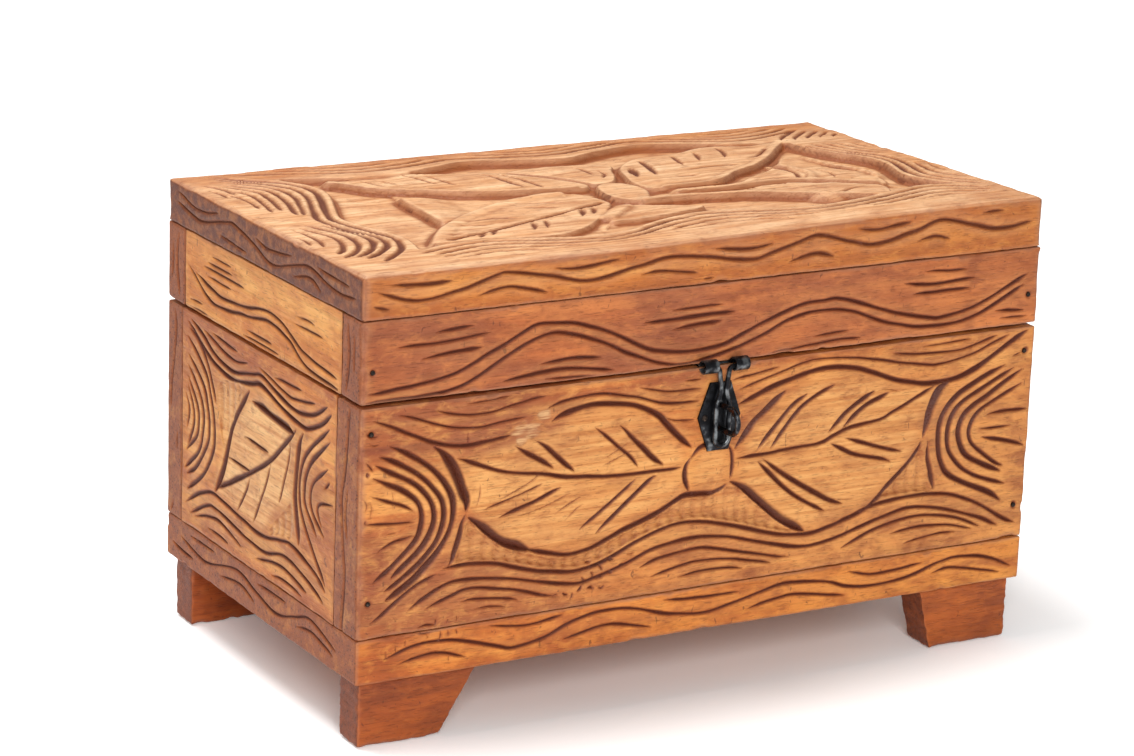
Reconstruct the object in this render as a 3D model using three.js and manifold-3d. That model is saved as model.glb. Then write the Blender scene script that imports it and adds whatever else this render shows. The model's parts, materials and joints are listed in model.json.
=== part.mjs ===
// A carved wooden box on four feet, with a hinged lid and a hand-made hasp, staple and hinges.
// Millimetres, +Z up, +X along the front to the right, +Y towards the hinges.
// The origin is on the floor, under the middle of the whole outline.
import * as THREE from 'three';
import { mergeVertices } from 'three/addons/utils/BufferGeometryUtils.js';
import Module from 'manifold-3d';

const wasm = await Module();
wasm.setup();

// Outside sizes. The height is to the top board's flat left end.
const length = 450;
const depth = 252;
const height = 271.2;

// Case. Its planks were sawn by eye, so the front one is thicker and the back one thinner.
const caseFrontThickness = 28.5;
const caseBackThickness = 20.5;
const sideThickness = 24;
const bottomThickness = 26.5;
const caseWallHeight = 132;

// Lid. Its walls fill what height is left. Its top board has warped: it rises to the front right corner.
const lidWallThickness = 24;
const lidGap = 1.6;
const topThickness = 25.5;
const topRise = 4.9;
const topRiseLength = 320;
const topRiseEnd = 40;

// Feet: boards on edge, slanted at their inner ends
const footHeight = 39;
const footThickness = 24;
const footInset = 4;
const footEdgeWear = 2.5;
const leftFootTop = 75;
const leftFootSole = 51;
const rightFootTop = 66;
const rightFootSole = 56;

// Hasp: a sheet leaf rolled into two knuckles, and a wire loop that hangs from them
const haspOffset = 3;
const leafSheet = 1;
const leafReach = 20;
const leafNailSpacing = 19;
const leafNailReach = 12;
const knuckleOuter = 4.1;
const knuckleBore = 3.1;
const knuckleLength = 9.2;
const knuckleSpacing = 11.4;
const loopWire = 3;
const loopPinShortfall = 0.6;
const loopNeck = 6.4;
const loopPinchGap = 0.7;
const loopPinchDrop = 13;
const loopShoulder = 9.5;
const loopWidth = 8.6;
const loopReach = 42;

// Staple: a bent wire through a plate and the front board, clinched inside
const stapleWire = 3.4;
const stapleDrop = 31;
const stapleSpan = 14;
const stapleReach = 22.5;
const stapleBend = 2.4;
const stapleClinch = 10;
const plateThickness = 1.5;
const plateHeight = 41;
const plateWidth = 29;
const plateEndWidth = 14;
const plateNailSpacing = 20;

// Hinges: nailed sheet leaves rolled round a wire pin
const hingeInset = 85;
const hingeWidth = 40;
const hingeLeafHeight = 24;
const hingeSheet = 1.2;
const hingeBarrel = 3.4;
const hingePin = 1.8;
const hingePinOverhang = 1.2;
const hingeNailSpacing = 24;
const hingeNailReach = 15;

// Nails. A positive sink sets the head below its board's face, a negative one stands it proud.
const boardNail = { length: 48, shank: 1.25, head: 1.7, headLength: 1.6, sink: -0.3 };
const topNailSink = 4;
const topNailCover = 12;
const footNail = { ...boardNail, length: 56, sink: 3 };
const smallNail = { length: 15, shank: 0.9, head: 2.1, headLength: 0.8, sink: -0.8 };
const flatNail = { ...smallNail, headLength: 0.35, sink: -0.35 };
const cornerNailInset = 7;
const lowNailHeight = 20.5;
const highNailHeight = 117;
const lidNailHeight = 18;
const boardNailInset = 100;
const nailSides = 6;

// Carving. On the top, leaves round a boss stand in a sunk panel. On the front, gouge cuts draw two leaves
// and the arcs and waves round them, and the ground below the leaves is sunk.
const panelDepth = 4.6;
const topLeafDrop = 1;
const groundDepth = 1.6;
const gougeSlope = 0.55;
const gougeLift = 0.4;
const gougeSpacing = 11;
const outlineSteps = 2;

// The drawings are in millimetres from the left end, and from the front face or above the case floor.
// They are made for boards of these sizes and stretch with the box.
const drawnLength = 450;
const drawnDepth = 252;
const drawnWallHeight = 132;

const topPanel = [
  [58, 224], [104, 214], [150, 218], [185, 228], [246, 214], [305, 230], [340, 220], [380, 207], [396, 206],
  [403, 178], [417, 147], [421, 130], [412, 90], [423, 57], [402, 59], [379, 53], [330, 41], [300, 43],
  [246, 58], [204, 46], [170, 34], [129, 43], [103, 50], [80, 49], [57, 42], [61, 68], [52, 106], [50, 130],
  [67, 175], [69, 200],
];
const topLeaves = [
  [[90, 206], [132, 214], [170, 204], [203, 187], [223, 158], [218, 140], [180, 137], [140, 142], [100, 164]],
  [[72, 57], [101, 94], [140, 121], [180, 136], [210, 129], [216, 105], [195, 78], [168, 55], [128, 50]],
  [[222, 96], [188, 58], [230, 60], [251, 66], [238, 82]],
  [[228, 101], [262, 100], [290, 95], [340, 104], [386, 76], [364, 55], [310, 64], [262, 65], [240, 84]],
  [[252, 112], [300, 106], [335, 110], [366, 92], [394, 82], [398, 112], [386, 150], [374, 170], [345, 142],
    [300, 122]],
  [[252, 132], [300, 139], [345, 157], [396, 203], [350, 212], [304, 203], [262, 178], [251, 150]],
  [[229, 151], [214, 181], [197, 197], [228, 206], [262, 199], [261, 179], [247, 153]],
];
const topBoss = [[219, 117], [224, 140], [241, 146], [251, 126], [241, 104], [226, 102]];

const frontGrounds = [
  [[66, 60], [61, 38], [96, 32.5], [140, 24], [178, 36], [211, 42.5], [246, 35.5], [280, 28], [262, 42],
    [240, 57.5], [222, 54], [203, 53.5], [168, 39.5], [131, 30], [95, 40]],
  [[345, 38.5], [380, 37.5], [374, 60], [361, 52]],
];

// A gouge cut is its width, then its points
const frontCuts = [
  [3, [8, 125], [40, 110.5], [66, 104], [95, 106.5], [120, 112], [146, 118], [178, 112], [196, 99], [212, 84.5]],
  [2.6, [58, 97.5], [88, 86.5], [130, 78], [171, 74], [206, 74]],
  [3, [67, 63.5], [86, 47], [108, 37.5], [131, 32], [168, 41.5], [203, 55], [229, 56], [237, 60.5]],
  [2.6, [212, 84.5], [207.5, 68.5], [212, 57]],
  [2.6, [232, 85], [239, 77], [238, 62]],
  [3.2, [239, 106.5], [265, 115], [296, 121.5], [321, 120], [356, 108], [384, 104.5], [409, 110], [440, 127]],
  [3.2, [237, 62], [256, 48], [277, 31.5], [292, 24], [308, 24.5], [341, 37], [365, 58], [373, 74.5],
    [377, 89.5], [391, 104.5]],
  [2.4, [241, 74.5], [299, 77], [341, 86.5], [380, 102.5]],
  [3.4, [44, 106.5], [61, 87.5], [66.5, 65.5], [61, 45.5], [55.5, 35]],
  [3.2, [8.5, 100], [31, 88], [46.5, 65.5], [38.5, 48], [19.5, 32.5]],
  [3.2, [430.5, 110.5], [394.5, 94], [384, 71], [393.5, 45.5], [433, 24.5]],
  [3, [442, 97], [411, 82], [407, 67], [433, 46.5]],
  [2.6, [52, 34.5], [96, 30], [140, 21.5], [178, 33.5], [221, 39.5], [271, 25.5], [308, 22], [341, 34],
    [366, 36], [413, 26.5], [443, 11]],
];

// Clearances
const fit = 0.3;
const nailFit = 0.2;
const overcut = 1;

// Levels above the floor
const caseFloor = footHeight + bottomThickness;
const rim = caseFloor + caseWallHeight;
const lidUnderside = rim + lidGap;
const lidWallTop = height - topThickness;

// A top nail goes through the top board and stops short of the lid walls' lower edge
const topNailDepth = height - lidUnderside - topNailCover;
const topNail = { ...boardNail, length: topNailDepth - topNailSink, sink: topNailSink };

// Half sizes, and the middle line of the feet
const halfLength = length / 2;
const halfDepth = depth / 2;
const footMiddleY = halfDepth - footInset - footThickness / 2;

// The hinges' axis stands behind the back face, and the hasp's knuckles before the front one
const hingeAxisY = halfDepth + hingeBarrel + fit;
const hingeAxisZ = rim + lidGap / 2;
const knuckleY = -halfDepth - knuckleOuter - fit;
const knuckleZ = lidUnderside - leafSheet / 2;
const loopAxisZ = knuckleZ - (knuckleBore - loopWire / 2 - fit);
const stapleZ = knuckleZ - stapleDrop;
const stapleTipY = -halfDepth - stapleReach;

// The staple stands out in front and the hinges' barrels behind: the origin is midway
const frameShift = -(stapleTipY + hingeAxisY + hingeBarrel) / 2;

const X = new THREE.Vector3(1, 0, 0);
const Y = new THREE.Vector3(0, 1, 0);
const UP = new THREE.Vector3(0, 0, 1);
const DOWN = new THREE.Vector3(0, 0, -1);
const BACK = Y;
const FRONT = new THREE.Vector3(0, -1, 0);

const wood = new THREE.MeshStandardMaterial({ color: 0xb87444, roughness: 0.62, metalness: 0 });
const topWood = new THREE.MeshStandardMaterial({ color: 0xc48a58, roughness: 0.62, metalness: 0 });
const footWood = new THREE.MeshStandardMaterial({ color: 0x8a4a28, roughness: 0.7, metalness: 0 });
const blackIron = new THREE.MeshStandardMaterial({ color: 0x23211f, roughness: 0.42, metalness: 0.85 });
const nailSteel = new THREE.MeshStandardMaterial({ color: 0x5d5650, roughness: 0.5, metalness: 0.85 });

const box = new THREE.Group();
box.position.y = frameShift;

function addMesh(name, geometry, material) {
  const mesh = new THREE.Mesh(geometry, material);
  mesh.name = name;
  box.add(mesh);
}

// Joining and cutting closed geometries

function toSolid(geometry) {
  const bare = geometry.clone();
  bare.deleteAttribute('normal');
  bare.deleteAttribute('uv');
  const merged = mergeVertices(bare, 1e-4);
  const index = merged.index.array;
  const triangles = [];
  for (let i = 0; i < index.length; i += 3) {
    const [a, b, c] = [index[i], index[i + 1], index[i + 2]];
    if (a !== b && b !== c && a !== c) triangles.push(a, b, c);
  }
  return new wasm.Manifold(new wasm.Mesh({
    numProp: 3,
    vertProperties: new Float32Array(merged.attributes.position.array),
    triVerts: new Uint32Array(triangles),
  }));
}

function joinSolids(geometries) {
  return geometries.map(toSolid).reduce((whole, next) => whole.add(next));
}

function toGeometry(solid) {
  const { vertProperties, triVerts } = solid.getMesh();
  const geometry = new THREE.BufferGeometry();
  geometry.setAttribute('position', new THREE.BufferAttribute(new Float32Array(vertProperties), 3));
  geometry.setIndex(new THREE.BufferAttribute(new Uint32Array(triVerts), 1));
  geometry.computeVertexNormals();
  return geometry;
}

function cut(geometry, cutters) {
  let solid = toSolid(geometry);
  for (const cutter of cutters) solid = solid.subtract(toSolid(cutter));
  return toGeometry(solid);
}

function join(geometries) {
  return toGeometry(joinSolids(geometries));
}

// Shapes

function at(x, y, z) {
  return new THREE.Vector3(x, y, z);
}

function block(low, high) {
  const size = high.clone().sub(low);
  const middle = high.clone().add(low).multiplyScalar(0.5);
  return new THREE.BoxGeometry(size.x, size.y, size.z).translate(middle.x, middle.y, middle.z);
}

// Turns a shape that stands on the origin along +Y to stand on start along direction
function stand(geometry, start, direction) {
  const turn = new THREE.Quaternion().setFromUnitVectors(Y, direction);
  return geometry.applyQuaternion(turn).translate(start.x, start.y, start.z);
}

function rod(start, direction, rodLength, radius, sides) {
  const upright = new THREE.CylinderGeometry(radius, radius, rodLength, sides).translate(0, rodLength / 2, 0);
  return stand(upright, start, direction);
}

function polygon(points) {
  return new THREE.Shape(points.map(([x, y]) => new THREE.Vector2(x, y)));
}

function roundSection(radius, sides) {
  const angles = Array.from({ length: sides }, (_, i) => (i / sides) * 2 * Math.PI);
  return polygon(angles.map((angle) => [radius * Math.cos(angle), radius * Math.sin(angle)]));
}

function wire(points, diameter, steps, sides) {
  const extrudePath = new THREE.CatmullRomCurve3(points, false, 'centripetal');
  const section = roundSection(diameter / 2, sides);
  return new THREE.ExtrudeGeometry(section, { steps, extrudePath, bevelEnabled: false });
}

// Points of an arc about [cx, cy], without its two ends
function arc(cx, cy, radius, fromAngle, toAngle, steps) {
  return Array.from({ length: steps - 1 }, (_, i) => {
    const angle = fromAngle + ((toAngle - fromAngle) * (i + 1)) / steps;
    return [cx + radius * Math.cos(angle), cy + radius * Math.sin(angle)];
  });
}

// A smooth closed shape through the points
function smoothShape(points) {
  const line = new THREE.CatmullRomCurve3(points.map(([x, y]) => at(x, y, 0)), true, 'centripetal');
  return polygon(line.getPoints(points.length * outlineSteps).slice(1).map(({ x, y }) => [x, y]));
}

// Nails: where each enters its first board, which way it goes, and what it is

const nails = [];

function drive(name, start, way, size) {
  nails.push({ name, start, way, size });
}

function addNail({ name, start, way, size }) {
  const shankEnd = size.length - size.headLength;
  const profile = [[0, 0], [size.shank * 0.3, 0], [size.shank, 2 * size.shank], [size.shank, shankEnd]];
  profile.push([size.head, shankEnd], [size.head, size.length], [0, size.length]);
  const turned = new THREE.LatheGeometry(profile.map(([r, h]) => new THREE.Vector2(r, h)), nailSides);
  const point = start.clone().addScaledVector(way, size.length + size.sink);
  addMesh(name, stand(turned, point, way.clone().negate()), nailSteel);
}

function nailHoles({ start, way, size }) {
  const outside = start.clone().addScaledVector(way, -overcut);
  const deep = size.length + size.sink + overcut + nailFit;
  const holes = [rod(outside, way, deep, size.shank + nailFit, nailSides)];
  const headDeep = size.headLength + size.sink + nailFit;
  if (headDeep > nailFit) holes.push(rod(outside, way, headDeep + overcut, size.head + nailFit, nailSides));
  return holes;
}

function holesOf(...prefixes) {
  const chosen = nails.filter(({ name }) => prefixes.some((prefix) => name.startsWith(prefix)));
  return chosen.flatMap(nailHoles);
}

// Front and back boards are nailed to the ends of the side boards
function driveCornerNails(prefix, heights) {
  for (const [side, sign] of [['left', -1], ['right', 1]]) {
    const x = sign * (halfLength - cornerNailInset);
    heights.forEach((z, row) => {
      drive(`${prefix}_nail_front_${side}_${row + 1}`, at(x, -halfDepth, z), BACK, boardNail);
      drive(`${prefix}_nail_back_${side}_${row + 1}`, at(x, halfDepth, z), FRONT, boardNail);
    });
  }
}

// The bottom is nailed up into the front and back walls, and the top down into the lid's
function driveBoardNails(prefix, walls, level, way, size) {
  for (const [side, sign] of [['left', -1], ['right', 1]]) {
    const x = sign * (halfLength - boardNailInset);
    const frontY = -halfDepth + walls.front / 2;
    const backY = halfDepth - walls.back / 2;
    drive(`${prefix}_nail_front_${side}`, at(x, frontY, level(x, frontY)), way, size);
    drive(`${prefix}_nail_back_${side}`, at(x, backY, level(x, backY)), way, size);
  }
}

// Feet

const feet = [
  { name: 'foot_front_left', signX: -1, signY: -1, top: leftFootTop, sole: leftFootSole },
  { name: 'foot_front_right', signX: 1, signY: -1, top: rightFootTop, sole: rightFootSole },
  { name: 'foot_back_left', signX: -1, signY: 1, top: leftFootTop, sole: leftFootSole },
  { name: 'foot_back_right', signX: 1, signY: 1, top: rightFootTop, sole: rightFootSole },
];

function driveFootNail({ name, signX, signY, sole }) {
  const x = signX * (halfLength - footInset - sole / 2);
  drive(`${name}_nail`, at(x, signY * footMiddleY, 0), UP, footNail);
}

function addFoot({ name, signX, signY, top, sole }) {
  const outline = polygon([
    [0, footHeight], [0, footEdgeWear], [footEdgeWear, 0], [sole - footEdgeWear, 0], [sole, footEdgeWear],
    [top, footHeight],
  ]);
  const foot = new THREE.ExtrudeGeometry(outline, { depth: footThickness, bevelEnabled: false });
  foot.translate(0, 0, -footThickness / 2).rotateX(Math.PI / 2);
  if (signX > 0) foot.rotateZ(Math.PI);
  foot.translate(signX * (halfLength - footInset), signY * footMiddleY, 0);
  addMesh(name, cut(foot, holesOf(`${name}_nail`)), footWood);
}

// Boards

const caseWalls = { front: caseFrontThickness, back: caseBackThickness };
const lidWalls = { front: lidWallThickness, back: lidWallThickness };

// Carving on the front: drawn points become x and height

function onFront([x, up]) {
  return [(x * length) / drawnLength - halfLength, caseFloor + (up * caseWallHeight) / drawnWallHeight];
}

function frontGround(points) {
  const shape = smoothShape(points.map(onFront));
  const area = new THREE.ExtrudeGeometry(shape, { depth: overcut + groundDepth, bevelEnabled: false });
  return area.rotateX(Math.PI / 2).translate(0, -halfDepth + groundDepth, 0);
}

// A gouge cut is a three-sided trough that runs out to a point at both ends
function frontCut([width, ...points]) {
  const deep = width * gougeSlope;
  const reach = (width / 2) * (1 + gougeLift / deep);
  const places = points.map(onFront).map(([x, z]) => at(x, -halfDepth, z));
  const line = new THREE.CatmullRomCurve3(places, false, 'centripetal');
  const last = Math.max(3, Math.round(line.getLength() / gougeSpacing));
  const corners = [line.getPointAt(0).addScaledVector(FRONT, gougeLift)];
  for (let i = 1; i < last; i += 1) {
    const bottom = line.getPointAt(i / last);
    const across = line.getTangentAt(i / last).cross(BACK).multiplyScalar(reach);
    const lip = bottom.clone().addScaledVector(FRONT, gougeLift);
    corners.push(lip.clone().add(across), lip.clone().sub(across), bottom.addScaledVector(BACK, deep));
  }
  corners.push(line.getPointAt(1).addScaledVector(FRONT, gougeLift));
  const end = corners.length - 1;
  const index = [];
  for (const [here, next] of [[0, 1], [1, 2], [2, 0]]) {
    index.push(0, 1 + next, 1 + here, end, end - 3 + here, end - 3 + next);
    for (let ring = 1; ring < end - 3; ring += 3) {
      index.push(ring + here, ring + next, ring + 3 + next, ring + here, ring + 3 + next, ring + 3 + here);
    }
  }
  return new THREE.BufferGeometry().setFromPoints(corners).setIndex(index);
}

const frontCarving = [...frontGrounds.map(frontGround), ...frontCuts.map(frontCut)];

function addWalls(prefix, walls, low, high, nailNames, frontCutters) {
  const holes = holesOf(...nailNames);
  const innerX = halfLength - sideThickness;
  const frontY = -halfDepth + walls.front;
  const backY = halfDepth - walls.back;
  const wall = (name, x0, y0, x1, y1, cutters) => {
    addMesh(prefix + name, cut(block(at(x0, y0, low), at(x1, y1, high)), cutters), wood);
  };
  wall('front_board', -halfLength, -halfDepth, halfLength, frontY, [...holes, ...frontCutters]);
  wall('back_board', -halfLength, backY, halfLength, halfDepth, holes);
  wall('left_board', -halfLength, frontY, -innerX, backY, holes);
  wall('right_board', innerX, frontY, halfLength, backY, holes);
}

function addBottomBoard() {
  const board = block(at(-halfLength, -halfDepth, footHeight), at(halfLength, halfDepth, caseFloor));
  addMesh('bottom_board', cut(board, holesOf('bottom_', 'foot_')), wood);
}

// Height of the top board's upper face: a smooth step along the front, fading out towards the back
function topLevel(x, y) {
  const along = (x - halfLength + topRiseLength) / (topRiseLength - topRiseEnd);
  return lidWallTop + topThickness + topRise * THREE.MathUtils.smoothstep(along, 0, 1) * (0.5 - y / depth);
}

function topArea(points) {
  const shape = smoothShape(points.map(([x, y]) => [
    (x * length) / drawnLength - halfLength, (y * depth) / drawnDepth - halfDepth,
  ]));
  const area = new THREE.ExtrudeGeometry(shape, { depth: topThickness + topRise, bevelEnabled: false });
  return area.translate(0, 0, lidWallTop + topThickness / 2);
}

// Sinks the panel, whose ground follows the warped face, and leaves the leaves and the boss standing
function carveTop(board) {
  const solid = toSolid(board);
  const panel = toSolid(topArea(topPanel));
  const boss = toSolid(topArea(topBoss));
  const raised = joinSolids(topLeaves.map(topArea)).add(boss);
  const leafTops = solid.translate([0, 0, -topLeafDrop]);
  const ground = solid.translate([0, 0, -panelDepth]);
  const carved = solid.subtract(panel.subtract(boss).subtract(leafTops));
  return toGeometry(carved.subtract(panel.subtract(raised).subtract(ground)));
}

function addTopBoard() {
  const board = new THREE.BoxGeometry(length, depth, topThickness, 12, 4, 1);
  board.translate(0, 0, lidWallTop + topThickness / 2);
  const corners = board.attributes.position;
  for (let i = 0; i < corners.count; i += 1) {
    const [x, y] = [corners.getX(i), corners.getY(i)];
    if (corners.getZ(i) > lidWallTop + topThickness / 2) corners.setZ(i, topLevel(x, y));
  }
  addMesh('lid_top_board', cut(carveTop(board), holesOf('top_')), topWood);
}

// Hasp

function haspX(side, distance) {
  return haspOffset + side * distance;
}

function driveHaspNails() {
  for (const [side, sign] of [['left', -1], ['right', 1]]) {
    const inLeaf = at(haspX(sign, leafNailSpacing / 2), -halfDepth + leafNailReach, lidUnderside - leafSheet);
    const inPlate = at(haspX(sign, plateNailSpacing / 2), -halfDepth - plateThickness, stapleZ);
    drive(`hasp_leaf_nail_${side}`, inLeaf, UP, flatNail);
    drive(`staple_plate_nail_${side}`, inPlate, BACK, smallNail);
  }
}

function addHaspLeaf() {
  const low = lidUnderside - leafSheet;
  const halfWidth = knuckleSpacing / 2 + knuckleLength;
  const [x0, x1] = [haspX(-1, halfWidth), haspX(1, halfWidth)];
  const solids = [block(at(x0, -halfDepth, low), at(x1, -halfDepth + leafReach, lidUnderside))];
  const bores = [];
  for (const sign of [-1, 1]) {
    const start = haspX(sign, (knuckleSpacing + knuckleLength) / 2) - knuckleLength / 2;
    solids.push(rod(at(start, knuckleY, knuckleZ), X, knuckleLength, knuckleOuter, 24));
    solids.push(block(at(start, knuckleY, low), at(start + knuckleLength, -halfDepth + fit, lidUnderside)));
    bores.push(rod(at(start - overcut, knuckleY, knuckleZ), X, knuckleLength + 2 * overcut, knuckleBore, 20));
  }
  addMesh('hasp_hinge_leaf', cut(join(solids), [...bores, ...holesOf('hasp_leaf_nail')]), blackIron);
}

// The loop is one wire: a pin in each knuckle, two strands that pinch together, and a round-ended eye
function addHaspLoop() {
  const neck = loopNeck / 2;
  const knuckle = knuckleSpacing / 2;
  const bend = knuckle - neck;
  const pinch = (loopWire + loopPinchGap) / 2;
  const eye = loopWidth / 2;
  const shoulder = loopPinchDrop + loopShoulder;
  const right = [[knuckle + knuckleLength - loopPinShortfall, 0], [knuckle + bend, 0], [knuckle, 0]];
  right.push(...arc(knuckle, bend, bend, -Math.PI / 2, -Math.PI, 4), [neck, bend]);
  right.push([pinch, loopPinchDrop], [(pinch + eye) / 2, loopPinchDrop + loopShoulder * 0.55]);
  right.push([eye, shoulder], [eye, (shoulder + loopReach) / 2], [eye, loopReach]);
  const left = right.map(([x, drop]) => [-x, drop]).reverse();
  const line = [...right, ...arc(0, loopReach, eye, 0, Math.PI, 8), ...left];
  const points = line.map(([x, drop]) => at(haspOffset + x, knuckleY, loopAxisZ - drop));
  addMesh('hasp_loop', wire(points, loopWire, 80, 8), blackIron);
}

function stapleHoles() {
  const outside = -halfDepth - plateThickness - overcut;
  const through = plateThickness + caseFrontThickness + 2 * overcut;
  return [-1, 1].map((sign) => rod(
    at(haspOffset, outside, stapleZ + (sign * stapleSpan) / 2), BACK, through, stapleWire / 2 + fit, 8,
  ));
}

function addStaple() {
  const bow = stapleSpan / 2;
  const bowY = stapleTipY + stapleWire / 2 + bow;
  const clinchY = -halfDepth + caseFrontThickness + stapleWire / 2 + fit;
  const bend = bow + stapleBend;
  const upper = [[clinchY, bow + stapleClinch], [clinchY, bend + stapleWire / 2], [clinchY, bend]];
  upper.push(...arc(clinchY - stapleBend, bend, stapleBend, 0, -Math.PI / 2, 4), [clinchY - stapleBend, bow]);
  upper.push([(clinchY + bowY) / 2, bow], [bowY, bow]);
  const lower = upper.map(([y, z]) => [y, -z]).reverse();
  const line = [...upper, ...arc(bowY, 0, bow, Math.PI / 2, (3 * Math.PI) / 2, 8), ...lower];
  addMesh('staple', wire(line.map(([y, z]) => at(haspOffset, y, stapleZ + z)), stapleWire, 80, 8), blackIron);
}

function addStaplePlate() {
  const [half, end, side] = [plateHeight / 2, plateEndWidth / 2, plateWidth / 2];
  const outline = polygon([[-end, half], [-side, 0], [-end, -half], [end, -half], [side, 0], [end, half]]);
  const plate = new THREE.ExtrudeGeometry(outline, { depth: plateThickness, bevelEnabled: false });
  plate.rotateX(Math.PI / 2).translate(haspOffset, -halfDepth, stapleZ);
  addMesh('staple_plate', cut(plate, [...stapleHoles(), ...holesOf('staple_plate_nail')]), blackIron);
}

// Hinges. A leaf with level -1 is on the case and one with level 1 is on the lid.

const hinges = [{ side: 'left', x: hingeInset - halfLength }, { side: 'right', x: halfLength - hingeInset }];

function driveHingeNails({ side, x }) {
  for (const [place, level] of [['case', -1], ['lid', 1]]) {
    for (const [end, sign] of [['a', -1], ['b', 1]]) {
      const nailX = x + (sign * hingeNailSpacing) / 2;
      const start = at(nailX, halfDepth + hingeSheet, hingeAxisZ + level * hingeNailReach);
      drive(`hinge_${place}_nail_${side}_${end}`, start, FRONT, smallNail);
    }
  }
}

function hingeLeaf(x, level, cutters) {
  const knuckle = hingeWidth / 3;
  const sheet = (x0, x1, z0, z1) => block(
    at(x + x0, halfDepth, hingeAxisZ + Math.min(level * z0, level * z1)),
    at(x + x1, halfDepth + hingeSheet, hingeAxisZ + Math.max(level * z0, level * z1)),
  );
  const solids = [sheet(-hingeWidth / 2, hingeWidth / 2, hingeBarrel + fit, hingeLeafHeight)];
  const bores = [];
  for (const middle of level < 0 ? [-knuckle, knuckle] : [0]) {
    const half = (knuckle - fit) / 2;
    const start = x + middle - half;
    solids.push(sheet(middle - half, middle + half, 0, hingeBarrel + 2 * fit));
    solids.push(rod(at(start, hingeAxisY, hingeAxisZ), X, 2 * half, hingeBarrel, 16));
    solids.push(block(
      at(start, halfDepth, hingeAxisZ + Math.min(0, level * hingeSheet)),
      at(start + 2 * half, hingeAxisY, hingeAxisZ + Math.max(0, level * hingeSheet)),
    ));
    bores.push(rod(at(start - overcut, hingeAxisY, hingeAxisZ), X, 2 * (half + overcut), hingePin + fit, 12));
  }
  return cut(join(solids), [...bores, ...cutters]);
}

function addHinge({ side, x }) {
  const pinLength = hingeWidth + 2 * hingePinOverhang;
  const pin = rod(at(x - pinLength / 2, hingeAxisY, hingeAxisZ), X, pinLength, hingePin, 12);
  addMesh(`hinge_case_leaf_${side}`, hingeLeaf(x, -1, holesOf(`hinge_case_nail_${side}`)), blackIron);
  addMesh(`hinge_lid_leaf_${side}`, hingeLeaf(x, 1, holesOf(`hinge_lid_nail_${side}`)), blackIron);
  addMesh(`hinge_pin_${side}`, pin, blackIron);
}

driveCornerNails('case', [caseFloor + lowNailHeight, caseFloor + highNailHeight]);
driveCornerNails('lid', [lidUnderside + lidNailHeight]);
driveBoardNails('bottom', caseWalls, () => footHeight, UP, boardNail);
driveBoardNails('top', lidWalls, topLevel, DOWN, topNail);
feet.forEach(driveFootNail);
driveHaspNails();
hinges.forEach(driveHingeNails);

const frontCutters = [...stapleHoles(), ...frontCarving];
addWalls('', caseWalls, caseFloor, rim, ['case_', 'bottom_', 'staple_plate_', 'hinge_case_'], frontCutters);
addBottomBoard();
feet.forEach(addFoot);
addWalls('lid_', lidWalls, lidUnderside, lidWallTop, ['lid_', 'top_', 'hasp_leaf_', 'hinge_lid_'], []);
addTopBoard();
addHaspLeaf();
addHaspLoop();
addStaplePlate();
addStaple();
hinges.forEach(addHinge);
nails.forEach(addNail);

export default box;
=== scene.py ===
"""A carved wooden box with a hinged lid, four feet and a hand-made iron hasp, around its CAD frame."""
import itertools
import json
import math

import bpy
import numpy as np
from mathutils import Matrix, Vector

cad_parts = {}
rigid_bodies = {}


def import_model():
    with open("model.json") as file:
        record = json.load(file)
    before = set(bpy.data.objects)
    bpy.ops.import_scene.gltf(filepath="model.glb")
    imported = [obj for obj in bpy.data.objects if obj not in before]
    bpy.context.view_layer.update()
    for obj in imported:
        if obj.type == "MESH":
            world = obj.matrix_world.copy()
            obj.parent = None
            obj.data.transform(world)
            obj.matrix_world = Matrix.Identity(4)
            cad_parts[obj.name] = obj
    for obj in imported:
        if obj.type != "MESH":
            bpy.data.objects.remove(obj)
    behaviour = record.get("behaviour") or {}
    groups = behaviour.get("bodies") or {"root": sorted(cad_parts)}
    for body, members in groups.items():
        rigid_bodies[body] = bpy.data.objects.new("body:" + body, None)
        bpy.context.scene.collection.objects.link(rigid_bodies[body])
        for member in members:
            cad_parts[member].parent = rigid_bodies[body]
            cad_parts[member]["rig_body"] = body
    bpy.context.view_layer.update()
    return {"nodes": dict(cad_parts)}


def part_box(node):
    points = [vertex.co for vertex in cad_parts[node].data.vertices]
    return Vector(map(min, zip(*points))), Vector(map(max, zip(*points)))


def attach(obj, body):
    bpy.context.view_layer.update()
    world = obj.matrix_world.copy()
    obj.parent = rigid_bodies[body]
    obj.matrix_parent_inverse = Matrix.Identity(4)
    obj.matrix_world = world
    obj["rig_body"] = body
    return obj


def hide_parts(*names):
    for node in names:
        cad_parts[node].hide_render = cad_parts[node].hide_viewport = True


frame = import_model()

MM = 0.001


def frame_box(node):
    """A node's lowest and highest corners, in millimetres"""
    low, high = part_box(node)
    return np.array(low) / MM, np.array(high) / MM


LEFT_END, FRONT_FACE = frame_box("bottom_board")[0][:2]
RIGHT_END, BACK_FACE = frame_box("bottom_board")[1][:2]
LENGTH = RIGHT_END - LEFT_END
DEPTH = BACK_FACE - FRONT_FACE

# The drawings on the faces are in millimetres: from the left end, from the front face and above the floor.
DRAWING_ORIGIN = np.array([LEFT_END, FRONT_FACE, 0.0])


# Camera: the photograph's own viewpoint. Places are in metres, angles in degrees.

SENSOR = 36.0
PHOTO_WIDTH = 1134
FOCAL_PIXELS = 3672
FAR_CLIP = 30
CAMERA_PLACE = (-1.0889, -1.7965, 0.7566)
CAMERA_YAW = 30.57
CAMERA_PITCH = 15.91
CAMERA_ROLL = 2.10


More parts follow.
